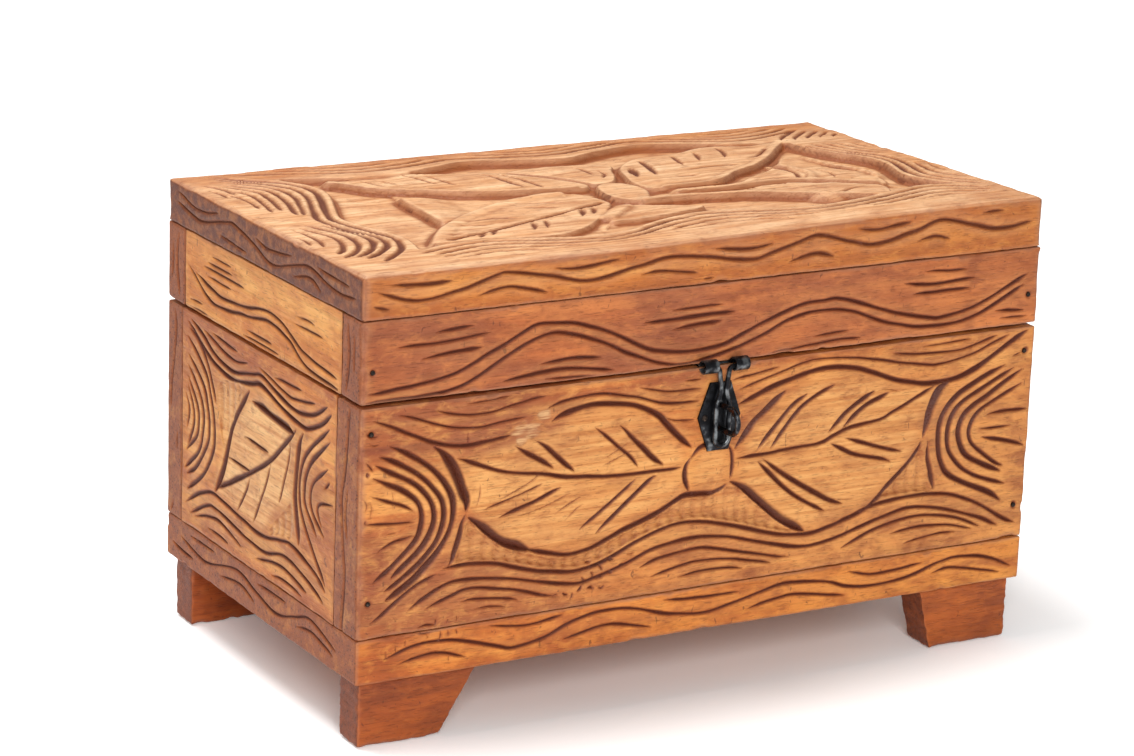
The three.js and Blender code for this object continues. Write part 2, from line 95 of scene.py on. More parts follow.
def add_camera():
    data = bpy.data.cameras.new("camera")
    data.sensor_width = SENSOR
    data.lens = FOCAL_PIXELS / PHOTO_WIDTH * SENSOR
    data.clip_end = FAR_CLIP
    camera = bpy.data.objects.new("camera", data)
    turn = Matrix.Rotation(math.radians(-CAMERA_YAW), 4, "Z")
    tilt = Matrix.Rotation(math.radians(90 - CAMERA_PITCH), 4, "X")
    roll = Matrix.Rotation(math.radians(CAMERA_ROLL), 4, "Z")
    camera.matrix_world = Matrix.Translation(CAMERA_PLACE) @ turn @ tilt @ roll
    bpy.context.scene.collection.objects.link(camera)
    bpy.context.scene.camera = camera


# Curves and fields that shape the wood

def smooth_line(points, spacing=2.0):
    """Points along a Catmull-Rom curve through the given ones"""
    p = np.array(points, float)
    p = np.vstack([2 * p[0] - p[1], p, 2 * p[-1] - p[-2]])
    pieces = []
    for a, b, c, d in zip(p, p[1:], p[2:], p[3:]):
        count = max(2, math.ceil(np.linalg.norm(c - b) / spacing))
        t = (np.arange(count) / count)[:, None]
        bend = (c - a) * t + (2 * a - 5 * b + 4 * c - d) * t ** 2 + (3 * b - a - 3 * c + d) * t ** 3
        pieces.append(b + bend / 2)
    pieces.append(p[-2:-1])
    return np.vstack(pieces)


def closed_line(points, spacing=2.0):
    """A smooth closed outline through the given points"""
    points = list(points)
    looped = smooth_line(points[-2:] + points + points[:2], spacing)
    start = np.argmin(np.linalg.norm(looped - points[0], axis=1))
    end = len(looped) - 1 - np.argmin(np.linalg.norm(looped[::-1] - points[0], axis=1))
    return looped[start:end + 1]


def wander(points, size, seed):
    """A smooth random field from -1 to 1 whose bumps are about size across"""
    scaled = np.asarray(points, float) / size + 500
    if scaled.shape[1] == 2:
        scaled = np.column_stack([scaled, np.zeros(len(scaled))])
    cell = np.floor(scaled)
    share = scaled - cell
    share = share * share * (3 - 2 * share)
    total = np.zeros(len(scaled))
    for corner in itertools.product((0, 1), repeat=3):
        place = cell + corner
        noise = np.sin(place @ np.array([12.9898, 78.233, 37.719]) + seed * 4.137) * 43758.5453
        weight = np.prod(np.where(corner, share, 1 - share), axis=1)
        total += weight * (2 * (noise - np.floor(noise)) - 1)
    return total


def smooth_step(x):
    x = np.clip(x, 0, 1)
    return x * x * (3 - 2 * x)


def travelled(line):
    """How far along a line each of its points is"""
    return np.concatenate([[0], np.cumsum(np.linalg.norm(np.diff(line, axis=0), axis=1))])


def nearest_on(points, curve):
    """Each point's distance to the curve, how far along that is, its side, the spot, and the full length"""
    steps = np.diff(curve, axis=0)
    lengths = np.linalg.norm(steps, axis=1)
    travel = travelled(curve)
    distance = np.full(len(points), np.inf)
    along = np.zeros(len(points))
    side = np.zeros(len(points))
    spot = np.array(points, float)
    for a, step, length, done in zip(curve, steps, lengths, travel):
        offset = points - a
        share = np.clip(offset @ step / max(length ** 2, 1e-9), 0, 1)
        away = offset - share[:, None] * step
        gap = np.hypot(away[:, 0], away[:, 1])
        closer = gap < distance
        distance[closer] = gap[closer]
        along[closer] = done + share[closer] * length
        side[closer] = (step[0] * offset[:, 1] - step[1] * offset[:, 0])[closer]
        spot[closer] = points[closer] - away[closer]
    return distance, along, side, spot, travel[-1]


def is_inside(points, outline):
    """Whether each point lies in the closed outline, by counting the edges to its right"""
    inside = np.zeros(len(points), bool)
    x, y = points[:, 0], points[:, 1]
    for (x0, y0), (x1, y1) in zip(outline, np.roll(outline, -1, axis=0)):
        if y0 == y1:
            continue
        spans = (y0 > y) != (y1 > y)
        crossing = x0 + (y - y0) * (x1 - x0) / (y1 - y0)
        inside ^= spans & (x < crossing)
    return inside


def depth_inside(points, outline):
    """How deep each point lies inside the outline, or 0 outside it"""
    result = np.zeros(len(points))
    chosen = np.flatnonzero(is_inside(points, outline))
    if len(chosen):
        closed = np.vstack([outline, outline[:1]])
        result[chosen] = nearest_on(points[chosen], closed)[0]
    return result


# Gouge cuts. A groove is (width, point, point, ...), and width may be a pair: left and right of its bottom.
# A cut is V-shaped, and a flute is round-bottomed. Both wobble, swell and end in tips as a hand guides them.

# A cut's depth for its half width, and for the root of its width, which holds back wide ones
CUT_SLOPE = 0.82
WIDE_CUT_SLOPE = 1.4

# How much wider than drawn its worn lips are, and how its sides curve
CUT_LIP = 1.68
CUT_CURVE = 1.4

# A flute's depth next to a cut's, its lips, and how much of a cut's dark colour it takes, partly stain and
# partly painted shade
FLUTE_SLOPE = 0.95
FLUTE_LIP = 1.15
FLUTE_STAIN_AND_SHADE = 0.62

WOBBLE = 0.3
WOBBLE_LENGTH = 11
SWELL = 0.18
SWELL_LENGTH = 14

# A tip's length, its longest share of the groove, and the exit's share of the entry
TIP_LENGTH = 7.0
LONGEST_TIP = 0.45
EXIT_SHARE = 0.7

CHUNK = 10
SHALLOWEST_SNAP = 0.15


def groove_sizes(groove, seed, lip):
    """The groove's curve and its half widths on the left and the right at each point of it"""
    width = groove[0]
    left, right = width if isinstance(width, tuple) else (width / 2, width / 2)
    left = left * lip
    right = right * lip
    curve = smooth_line(groove[1:])
    wobble = np.column_stack([wander(curve, WOBBLE_LENGTH, seed), wander(curve, WOBBLE_LENGTH, seed + 50)])
    curve = curve + WOBBLE * wobble
    travel = travelled(curve)
    tip = min(TIP_LENGTH + left + right, travel[-1] * LONGEST_TIP)
    entry = np.clip(travel / tip, 0, 1) ** 0.7
    exit_ = np.clip((travel[-1] - travel) / (tip * EXIT_SHARE), 0, 1) ** 0.6
    swell = 1 + SWELL * wander(curve, SWELL_LENGTH, seed)
    return curve, left * entry * exit_ * swell, right * entry * exit_ * swell


def cut_stretch(points, curve, left, right, flute):
    """A groove's depth at each point, its full depth there, the distance to its bottom and the spot"""
    distance, along, side, spot, _ = nearest_on(points, curve)
    travel = travelled(curve)
    half_left = np.interp(along, travel, left)
    half_right = np.interp(along, travel, right)
    width = half_left + half_right
    full = CUT_SLOPE * np.minimum(width / 2, WIDE_CUT_SLOPE * width ** 0.5)
    half = np.where(side > 0, half_left, half_right)
    share = np.clip(distance / np.maximum(half, 1e-6), 0, 1)
    shape = FLUTE_SLOPE * (1 - share * share) if flute else (1 - share) ** CUT_CURVE
    return full * shape, full, distance, spot


def cut_grooves(points, grooves, reach, flute=False):
    """Depth of the cuts at each point, and where points within reach of a groove's bottom should move to"""
    depth = np.zeros(len(points))
    snap = np.array(points, float)
    snap_gap = np.full(len(points), float(reach))
    for number, groove in enumerate(grooves):
        curve, left, right = groove_sizes(groove, number, FLUTE_LIP if flute else CUT_LIP)
        margin = max(left.max(), right.max(), reach) + 0.1
        for first in range(0, len(curve) - 1, CHUNK):
            part = slice(first, min(first + CHUNK, len(curve) - 1) + 1)
            low = curve[part].min(0) - margin
            high = curve[part].max(0) + margin
            near = np.flatnonzero(np.all((points > low) & (points < high), axis=1))
            if not len(near):
                continue
            stretch = (curve[part], left[part], right[part])
            cut, full, distance, spot = cut_stretch(points[near], *stretch, flute)
            depth[near] = np.maximum(depth[near], cut)
            pull = (distance < snap_gap[near]) & (full > SHALLOWEST_SNAP)
            snap[near[pull]] = spot[pull]
            snap_gap[near[pull]] = distance[pull]
    return depth, snap


# A drawing says what is carved on one face. Its grooves and flutes are cuts. Its leaves are rubbed pale. Its
# grounds are sunk beside a leaf, its pits are round, such as a nail's dimple or a worm hole, and its chips
# are where fibres have broken out. Relief is a function of the place, and so is a paleness given instead of
# the leaves, which stands partly for paler wood and partly for painted light.

# What a board's points carry for the wood's colour. Steep carries painted shade on steep walls; hollow
# carries shade in recesses, partly stain and partly painted shade, and, turned round, a painted highlight on
# crests.
# The last two need the points round them.
MARKS = ("cut", "leaf", "ground", "chip", "rub", "steep", "hollow")

LEAF_FADE = 9.0
GROUND_SLOPE = 1.2
GROUND_RISE = 13.0
GROUND_PALE = 0.7
CHATTER_PITCH = 7.5
CHATTER_DEPTH = 0.7
PIT_STAIN = 0.7
CHIP_SPREAD = 2.5
FIBRES = (0.35, 1)


def leaf_share(points, outlines):
    """How far each point lies in a leaf, from 0 outside to 1"""
    leaf = np.zeros(len(points))
    for outline in outlines:
        leaf = np.maximum(leaf, smooth_step(depth_inside(points, closed_line(outline)) / LEAF_FADE))
    return leaf


def chatter(points):
    """Upright flutes that a gouge leaves side by side"""
    phase = (points[:, 0] + 1.5 * wander(points, 30, 5)) / CHATTER_PITCH
    return CHATTER_DEPTH * (1 - np.abs(np.cos(math.pi * phase)))


def sink_grounds(points, grounds):
    """Depth of the sunk grounds, and how far each point lies in one"""
    depth = np.zeros(len(points))
    ground = np.zeros(len(points))
    for deep, outline in grounds:
        inside = depth_inside(points, closed_line(outline))
        share = smooth_step(inside / GROUND_SLOPE)
        fall = 0.35 + 0.65 * smooth_step(inside / GROUND_RISE * 3)
        depth = np.maximum(depth, share * (deep * fall + chatter(points)))
        ground = np.maximum(ground, share)
    return depth, ground


def sink_pits(points, pits):
    """Depth of the round pits, each given as its place, radius and depth"""
    depth = np.zeros(len(points))
    for u, v, radius, deep in pits:
        away = np.hypot(points[:, 0] - u, points[:, 1] - v) / radius
        depth = np.maximum(depth, deep * smooth_step(1.6 * (1 - away)))
    return depth


def break_chips(points, chips):
    """Depth of the broken fibres, and how far each point lies in a chip, given by place and half sizes"""
    depth = np.zeros(len(points))
    chip = np.zeros(len(points))
    for u, v, radius_u, radius_v in chips:
        away = ((points[:, 0] - u) / radius_u) ** 2 + ((points[:, 1] - v) / radius_v) ** 2
        ragged = 1 - away + 0.7 * wander(points, 6, 21) + 0.7 * wander(points * [0.5, 1], 2, 25)
        share = smooth_step(ragged) * (away < CHIP_SPREAD)
        splinters = 0.5 + 0.5 * wander(points * FIBRES, 1.4, 22)
        depth = depth + share * (0.2 + splinters)
        chip = np.maximum(chip, share)
    return depth, chip


def carve(points, drawing, reach=0.0):
    """The depth at each point of a face, its first four marks, and the snapped points"""
    cut, snapped = cut_grooves(points, drawing.get("grooves", []), reach)
    flutes, fluted = cut_grooves(points, drawing.get("flutes", []), reach, True)
    snapped = np.where(snapped == points, fluted, snapped)
    sunk, ground = sink_grounds(points, drawing.get("grounds", []))
    pits = sink_pits(points, drawing.get("pits", []))
    broken, chip = break_chips(points, drawing.get("chips", []))
    relief = drawing["relief"](points) if "relief" in drawing else 0
    if "bleached" in drawing:
        leaf = drawing["bleached"](points)
    else:
        leaf = np.maximum(leaf_share(points, drawing.get("leaves", [])), GROUND_PALE * ground)
    depth = cut + flutes + (np.maximum(sunk, pits) + broken) + relief
    # Stain in the cuts and pits, and in the flutes partly stain and partly painted shade
    stain_and_flute_shade = np.maximum(np.maximum(cut, PIT_STAIN * pits), FLUTE_STAIN_AND_SHADE * flutes)
    return depth, np.column_stack([stain_and_flute_shade, leaf, ground, chip]), snapped


def mirrored(drawing, middle):
    """The same drawing turned left to right about a middle line"""
    def flip(points):
        return [(2 * middle - x, y) for x, y in points]

    result = dict(drawing)
    result["grooves"] = [
        (w[::-1] if isinstance(w, tuple) else w, *flip(points)) for w, *points in drawing.get("grooves", [])
    ]
    result["leaves"] = [flip(outline) for outline in drawing.get("leaves", [])]
    result["grounds"] = [(deep, flip(outline)) for deep, outline in drawing.get("grounds", [])]
    for spots in ("pits", "chips"):
        result[spots] = [(2 * middle - u, *others) for u, *others in drawing.get(spots, [])]
    return result


def blurred(grid, reach):
    """A grid's values averaged over squares, reach cells to each side"""
    for axis in (0, 1):
        padding = [(reach + 1, reach) if other == axis else (0, 0) for other in (0, 1)]
        total = np.cumsum(np.pad(grid, padding, mode="edge"), axis=axis)
        here = np.arange(grid.shape[axis])
        grid = (np.take(total, here + 2 * reach + 1, axis) - np.take(total, here, axis)) / (2 * reach + 1)
    return grid


# Boards. Each of a board's six faces has its own grid, and the strips along its edges join the grids.

# Face: the axis it faces along, the low or high side of it, the axes across and up it, and its winding
FACES = {
    "front": (1, 0, 0, 2, False),
    "back": (1, 1, 0, 2, True),
    "left": (0, 0, 1, 2, True),
    "right": (0, 1, 1, 2, False),
    "bottom": (2, 0, 0, 1, True),
    "top": (2, 1, 0, 1, False),
}
SIDE_NAMES = [("left", "right"), ("front", "back"), ("bottom", "top")]

# The squares of a face that nobody carved
COARSE = 9.0

# An edge's usual radius of wear and its chips, and how far from it points sink and move along with it
EDGE_WEAR = 1.1
EDGE_CHIP = 1.6
EDGE_WEAR_REACH = 9.0
EDGE_SHIFT_REACH = 7.0

# Shares of that radius: how far the face sinks at its edge, and how far in it is rubbed
EDGE_SINK = 0.35
EDGE_RUB = 2.2

PLANE_WEAR = 0.22
PLANE_WEAR_SIZE = 26
HOLLOW_REACH = 3.2
DEEPER = 0.4

# Shares of a square: how far a point moves onto a groove's bottom, and how near it may come to the edge
SNAP_REACH = 0.5
SNAP_MARGIN = 0.4


class Board:
    """A board's surface as points, each on one face, an edge of two or a corner of three"""

    def __init__(self, low, high, cells, drawings, wear, seed, warp, sawn):
        self.corners = np.array([low, high], float)
        self.warp = warp
        self.sawn = sawn
        self.cells = {face: cells.get(face, COARSE) for face in FACES}
        self.drawings = drawings
        self.wear = wear
        self.seed = seed
        self.points = []
        self.owners = []
        self.triangles = []
        self.quads = []
        self.count = 0

    def add_points(self, points, faces):
        """Adds points that belong to one to three faces, and gives their numbers"""
        shape = np.shape(points)[:-1]
        points = np.asarray(points, float).reshape(-1, 3)
        numbers = np.arange(self.count, self.count + len(points))
        self.count += len(points)
        self.points.append(points)
        self.owners.append((numbers, tuple(faces), shape))
        return numbers

    def lines(self, axis, cell):
        """Even places along an axis, from one end of the board to the other"""
        low, high = self.corners[:, axis]
        return np.linspace(low, high, max(1, round((high - low) / cell)) + 1)

    def edge_wear(self, points, pair):
        """The radius that wear has given an edge, at points on that edge"""
        radius = self.wear.get(frozenset(pair), EDGE_WEAR)
        rough = 1 + 0.45 * wander(points, 16, self.seed) + 0.3 * wander(points, 5, self.seed + 3)
        chip = smooth_step((wander(points, 12, self.seed + 9) - 0.5) / 0.3)
        return radius * np.maximum(rough, 0.3) + EDGE_CHIP * chip

    def flat(self, face, points):
        """The points of a face in its drawing's own coordinates"""
        _, _, u, v, _ = FACES[face]
        return points[:, [u, v]] - DRAWING_ORIGIN[[u, v]]

    def near_edges(self, face, points, reach):
        """For each edge of a face: its axis and end, the points near it, their gaps and places on it"""
        _, _, u, v, _ = FACES[face]
        for across, end in itertools.product((u, v), (0, 1)):
            gap = np.abs(points[:, across] - self.corners[end, across])
            close = np.flatnonzero(gap < reach)
            if len(close):
                on_edge = points[close].copy()
                on_edge[:, across] = self.corners[end, across]
                yield across, end, close, gap[close], on_edge

    def surface(self, face, points, reach=0.0):
        """How far each point of a face sinks, its marks, and the snapped points"""
        flat = self.flat(face, points)
        depth, marks, snapped = carve(flat, self.drawings.get(face, {}), reach)
        depth = depth + PLANE_WEAR * (1 + wander(flat, PLANE_WEAR_SIZE, self.seed)) / 2
        if self.sawn:
            depth = depth + self.sawn * (1 + wander(flat * [0.3, 1], 2.2, self.seed + 5)) / 2
        rub = np.zeros(len(points))
        for across, end, close, gap, on_edge in self.near_edges(face, points, EDGE_WEAR_REACH):
            radius = self.edge_wear(on_edge, (face, SIDE_NAMES[across][end]))
            depth[close] += EDGE_SINK * radius * np.clip(1 - gap / radius, 0, 1) ** 2
            rub[close] = np.maximum(rub[close], np.clip(1 - gap / (EDGE_RUB * radius), 0, 1))
        unset = np.zeros((len(points), 2))
        return depth, np.column_stack([marks, rub, unset]), snapped

    def add_edges(self):
        """Shared corners and edge points, as fine as the finer of an edge's two faces"""
        self.corner_number = {}
        for key in itertools.product((0, 1), repeat=3):
            place = [self.corners[end, axis] for axis, end in enumerate(key)]
            faces = [SIDE_NAMES[axis][end] for axis, end in enumerate(key)]
            self.corner_number[key] = self.add_points([place], faces)[0]
        self.edge_numbers = {}
        for axis in range(3):
            b, c = [other for other in range(3) if other != axis]
            for end_b, end_c in itertools.product((0, 1), repeat=2):
                faces = (SIDE_NAMES[b][end_b], SIDE_NAMES[c][end_c])
                inner = self.lines(axis, min(self.cells[face] for face in faces))[1:-1]
                points = np.zeros((len(inner), 3))
                points[:, axis] = inner
                points[:, b] = self.corners[end_b, b]
                points[:, c] = self.corners[end_c, c]
                numbers = self.add_points(points, faces)
                key = [0, 0, 0]
                key[b] = end_b
                key[c] = end_c
                first = self.corner_number[tuple(key)]
                key[axis] = 1
                last = self.corner_number[tuple(key)]
                self.edge_numbers[frozenset(faces)] = (
                    np.concatenate([[first], numbers, [last]]),
                    np.concatenate([self.corners[:1, axis], inner, self.corners[1:, axis]]),
                )

    def add_face(self, face):
        """A face's inner grid, and the strips that join it to the face's four edges"""
        axis, side, u, v, flip = FACES[face]
        cell = self.cells[face]
        us = self.lines(u, cell)[1:-1]
        vs = self.lines(v, cell)[1:-1]
        if not len(us):
            us = self.corners[:, u].mean(keepdims=True)
        if not len(vs):
            vs = self.corners[:, v].mean(keepdims=True)
        grid = np.zeros((len(us), len(vs), 3))
        grid[:, :, axis] = self.corners[side, axis]
        grid[:, :, u] = us[:, None]
        grid[:, :, v] = vs[None, :]
        numbers = self.add_points(grid, [face]).reshape(len(us), len(vs))
        quads = np.stack([numbers[:-1, :-1], numbers[1:, :-1], numbers[1:, 1:], numbers[:-1, 1:]], -1)
        quads = quads.reshape(-1, 4)
        self.quads.append(quads[:, ::-1] if flip else quads)
        for across, end, row, values, turned in (
            (v, 0, numbers[:, 0], us, False),
            (v, 1, numbers[:, -1], us, True),
            (u, 0, numbers[0, :], vs, True),
            (u, 1, numbers[-1, :], vs, False),
        ):
            edge, edge_values = self.edge_numbers[frozenset((face, SIDE_NAMES[across][end]))]
            self.triangles += zip_rows(edge, edge_values, row, values, turned != flip)

    def build(self):
        """The worn and carved board's points, triangles and marks"""
        self.add_edges()
        for face in FACES:
            self.add_face(face)
        points = np.vstack(self.points)
        moved = points.copy()
        depths = np.zeros(len(points))
        marks = np.zeros((len(points), len(MARKS)))
        for numbers, faces, shape in self.owners:
            if not len(numbers):
                continue
            if len(faces) == 1:
                self.place_inner(faces[0], numbers, shape, points, moved, depths, marks)
                continue
            for face in faces:
                axis, side = FACES[face][:2]
                depth, face_marks, _ = self.surface(face, points[numbers])
                moved[numbers, axis] += depth if side == 0 else -depth
                depths[numbers] = np.maximum(depths[numbers], depth)
                marks[numbers] = np.maximum(marks[numbers], face_marks)
        if self.warp:
            moved = self.warp(moved)
        return moved, self.split_quads(depths), marks

    def snap(self, face, points):
        """Moves the points beside a groove's bottom onto it, so that the bottom is one clean line"""
        _, _, u, v, _ = FACES[face]
        cell = self.cells[face]
        snapped = self.surface(face, points, SNAP_REACH * cell)[-1]
        low = self.corners[0, [u, v]] + SNAP_MARGIN * cell
        high = self.corners[1, [u, v]] - SNAP_MARGIN * cell
        points[:, [u, v]] = np.clip(snapped + DRAWING_ORIGIN[[u, v]], low, high)

    def place_inner(self, face, numbers, shape, points, moved, depths, marks):
        """Moves a face's own points: in by the carving, and along the face where its edges are cut away"""
        axis, side = FACES[face][:2]
        spots = points[numbers].copy()
        if face in self.drawings:
            self.snap(face, spots)
        depth, face_marks, _ = self.surface(face, spots)
        grid = depth.reshape(shape)
        # Shade in recesses, partly stain and partly painted shade, and where negative a painted highlight on
        # crests: how far each point lies below its blurred surroundings
        reach = max(1, round(HOLLOW_REACH / self.cells[face]))
        face_marks[:, MARKS.index("hollow")] = (grid - blurred(blurred(grid, reach), reach)).ravel()
        # Painted shade on steep walls: the slope of the carved surface
        if min(shape) > 1:
            steep = np.hypot(*np.gradient(grid, self.cells[face]))
            face_marks[:, MARKS.index("steep")] = steep.ravel()
        moved[numbers] = spots
        moved[numbers, axis] += depth if side == 0 else -depth
        depths[numbers] = depth
        marks[numbers] = face_marks
        for across, end, close, gap, on_edge in self.near_edges(face, spots, EDGE_SHIFT_REACH):
            shift = self.surface(SIDE_NAMES[across][end], on_edge)[0]
            shift = shift * (1 - gap / EDGE_SHIFT_REACH) ** 2
            moved[numbers[close], across] += shift if end == 0 else -shift

    def split_quads(self, depth):
        """Each square as two triangles, cut along the deeper and more level of its diagonals"""
        quads = np.vstack(self.quads)
        a, b, c, d = quads.T
        level = np.abs(depth[b] - depth[d]) - np.abs(depth[a] - depth[c])
        first = level + DEEPER * (depth[a] + depth[c] - depth[b] - depth[d]) >= 0
        one = np.where(first[:, None], np.column_stack([a, b, c]), np.column_stack([a, b, d]))
        two = np.where(first[:, None], np.column_stack([a, c, d]), np.column_stack([b, c, d]))
        return np.vstack([one, two, np.array(self.triangles)])


def zip_rows(edge, edge_values, row, values, flip):
    """Triangles between an edge's points and a grid's outer row, which may be spaced differently"""
    triangles = []
    i = j = 0
    while i < len(edge) - 1 or j < len(row) - 1:
        step_edge = j == len(row) - 1 or (i < len(edge) - 1 and edge_values[i + 1] <= values[j + 1])
        if step_edge:
            triangle = (edge[i], edge[i + 1], row[j])
            i += 1
        else:
            triangle = (edge[i], row[j + 1], row[j])
            j += 1
        triangles.append(triangle[::-1] if flip else triangle)
    return triangles


def mesh_object(name, points, triangles, material, sharp=48):
    """A mesh from points in millimetres, with its sharp edges kept"""
    mesh = bpy.data.meshes.new(name)
    mesh.from_pydata((np.asarray(points) * MM).tolist(), [], np.asarray(triangles).tolist())
    mesh.validate()
    mesh.update()
    mesh.shade_smooth()
    mesh.set_sharp_from_angle(angle=math.radians(sharp))
    mesh.materials.append(material)
    piece = bpy.data.objects.new(name, mesh)
    bpy.context.scene.collection.objects.link(piece)
    return piece


def add_board(node, drawings, cells, material, wear=None, seed=0, thickness=None, warp=None, sawn=0):
    """Builds the carved board that stands for a CAD node"""
    low, high = frame_box(node)
    if thickness:
        high[2] = low[2] + thickness
    board = Board(low, high, cells, drawings, wear or {}, seed, warp, sawn)
    points, triangles, marks = board.build()
    piece = mesh_object("carved_" + node, points, triangles, material)
    for mark, values in zip(MARKS, marks.T):
        attribute = piece.data.attributes.new(mark, "FLOAT", "POINT")
        attribute.data.foreach_set("value", values.astype(np.float32))
    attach(piece, frame["nodes"][node]["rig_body"])
    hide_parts(node)


# What is carved on the front: two leaves from a boss, nested arcs at the ends, waves above and below

FRONT_WAVES = [
    (2.2, (7, 190.5), (21, 184.5), (33.5, 178.5), (46, 173.5), (56, 170.5), (66, 169.3), (77, 170),
     (95, 172)),
    (1.6, (21.5, 192), (31, 189.5), (46, 184), (58.5, 180.5), (73.5, 179), (86, 180), (103.5, 181.5)),
    (1.6, (44.5, 192), (53.5, 189.5), (66, 187), (81, 186.5), (93.5, 189), (105, 191), (115.5, 192)),
    (1.4, (63, 193.5), (76, 193.7), (93.5, 195.3)),
    (2.2, (7, 74), (15, 78), (27, 87), (37, 93), (50, 98)),
    (2.3, (52, 100), (71, 100.5), (83.5, 99), (96, 95.5), (108.5, 91.5), (120, 89), (140, 87), (158.5, 91),
     (178.5, 99), (201, 105.5), (221, 105), (246, 98.5), (271, 91), (294, 88), (308.5, 90), (321, 93.5),
     (341, 99.5), (366, 101.5), (390, 100), (413.5, 92), (436, 78.5), (445.5, 74.5)),
    (2.2, (30.5, 78), (38.5, 83), (50, 89), (63, 92), (88.5, 89.5), (115.5, 83.5), (136, 79.5), (150, 81),
     (168.5, 86), (188.5, 93), (211, 96), (233.5, 94.5), (258.5, 88), (281, 82), (294, 80.5), (311, 82),
     (331, 87), (354.5, 93), (368.5, 94.5), (391, 90.5), (416, 82), (433, 74.5)),
    (2.0, (40.5, 77.5), (58.5, 83.5), (71, 86), (96, 82), (115.5, 76), (124.5, 74.5)),
    (2.0, (178.5, 82.5), (196, 87.5), (221, 89), (246, 83.5), (271, 77.5), (281, 76)),
    (2.0, (317, 75), (341, 84), (368.5, 88.5), (396, 85), (419.5, 75.5)),
    (1.8, (63, 79), (73.5, 79.5), (96, 76.5), (102, 74.5)),
    (1.8, (186, 76.5), (208.5, 80.5), (221, 81.5), (246, 79), (271, 73)),
    (1.8, (351, 79.5), (372, 81.5), (393.5, 80), (414, 75)),
    (1.6, (72, 73.5), (83.5, 73.7), (94.5, 72)),
    (1.6, (204.5, 73.7), (221, 75), (239.5, 74.5), (251, 72.5)),
    (1.6, (361.5, 72.5), (387, 75), (401.5, 74.5)),
    (1.6, (239.5, 181), (264.5, 187), (286, 192.5), (298.5, 193.5), (323.5, 191), (343.5, 187), (369.5, 182),
     (381, 181), (406, 185), (432, 194.5)),
    (1.5, (234.5, 187), (258.5, 190.5), (269.5, 192)),
    (1.6, (346, 191.5), (371, 188.5), (398.5, 188.5), (423.5, 195)),
    (1.4, (367, 193), (386, 193.5), (405, 194.5)),
]
FRONT_LEFT_ARCS = [
    ((1.8, 2.8), (44, 172), (49.5, 168.5), (55.5, 162.5), (61, 153), (64, 145), (67, 137.5), (66.5, 131)),
    (3.0, (66.5, 131), (64, 125), (63, 118.5), (61, 111), (58, 103.5), (55.5, 100.5)),
    (3.2, (17, 175), (27, 170.5), (38.5, 163.5), (48.5, 155), (56, 145), (58.5, 137.5), (58, 127.5),
     (54.5, 118.5), (48.5, 110), (38.5, 100), (27, 92), (16.5, 86)),
    (3.0, (11, 170), (21, 165.5), (33.5, 158.5), (43.5, 150), (50.5, 141), (52.5, 132.5), (51, 122.5),
     (46, 113.5), (36, 103.5), (24.5, 96), (16, 91.5)),
    (3.0, (8.5, 165.5), (18.5, 160), (31, 153.5), (38.5, 147.5), (44.5, 140), (46.5, 131), (44.5, 122.5),
     (38.5, 113.5), (29.5, 106), (19.5, 98)),
    (2.8, (7, 158.5), (17, 153.5), (27, 148.5), (34.5, 143), (38, 137.5), (39, 130), (36.5, 121),
     (31, 114.5), (21, 105.5), (9, 97)),
    (1.8, (7, 147.5), (18.5, 143), (27, 140), (34.5, 135.5)),
    (1.8, (2, 132), (14.5, 131), (36, 129.5)),
    (1.8, (11, 114.5), (21, 119.5), (28.5, 121), (35.5, 122.5)),
]
FRONT_LEFT_LEAF = [
    (2.2, (58.5, 163), (66, 160.5), (77, 156), (88.5, 152), (99.5, 149.5), (115.5, 147), (130, 143.5),
     (156, 140.5), (171, 139.5), (206, 139.5)),
    ((3.6, 1.4), (67, 129), (76, 120.5), (86, 112.5), (94.5, 107.5), (108.5, 103)),
    ((1.7, 1.1), (102, 105), (118.5, 100), (131, 97.5), (142, 98), (151, 100), (168.5, 107), (188.5, 113.5),
     (203.5, 120.5), (209.5, 122.5), (218.5, 122), (229, 121.5), (237, 126)),
    (3.0, (118, 176), (124.5, 179.5), (133.5, 182), (146, 183.5), (158.5, 182.5), (168.5, 181),
     (178.5, 177.5), (188.5, 172), (196, 164.5), (203.5, 157), (212, 150)),
    (1.8, (114, 184), (123.5, 187), (133.5, 188.5), (146, 189.5), (158.5, 188), (173.5, 184.5),
     (193.5, 178.5), (216, 177.5)),
    (1.5, (173.5, 190.5), (185, 187.5), (196, 185.5), (217, 185)),
    (1.5, (203.5, 190.5), (210, 190.3), (217, 190.5)),
    (1.5, (188.5, 173), (198.5, 168), (213.5, 167)),
    (2.6, (95.5, 166), (104.5, 160), (115, 154), (122, 149)),
    (2.6, (108.5, 167.5), (116, 162.5), (124.5, 154.5), (135.5, 145)),
    (2.0, (146, 171), (162, 157.5), (171, 150), (177, 142.5)),
    (2.8, (162, 170.5), (178.5, 155), (186, 147.5), (194, 142)),
    (1.4, (76, 130.5), (102, 137.5), (115.5, 142)),
    (2.0, (86, 125), (108.5, 131.5), (127, 138)),
    (2.0, (138.5, 110.5), (161, 126), (176, 137)),
    (2.2, (149, 106.5), (168.5, 122.5), (184.5, 135), (189.5, 137)),
]
FRONT_BOSS = [
    (3.4, (211.5, 145), (208, 140), (207.5, 134), (209, 128), (211, 123.5)),
    (2.4, (211, 143.5), (214, 147.5), (218.5, 150.5), (226, 151)),
    (2.4, (232, 150.5), (237, 147.5), (239, 142.5), (239.5, 135), (238.5, 128)),
    (1.6, (212, 123), (220, 121), (231, 121.5), (237, 126)),
]
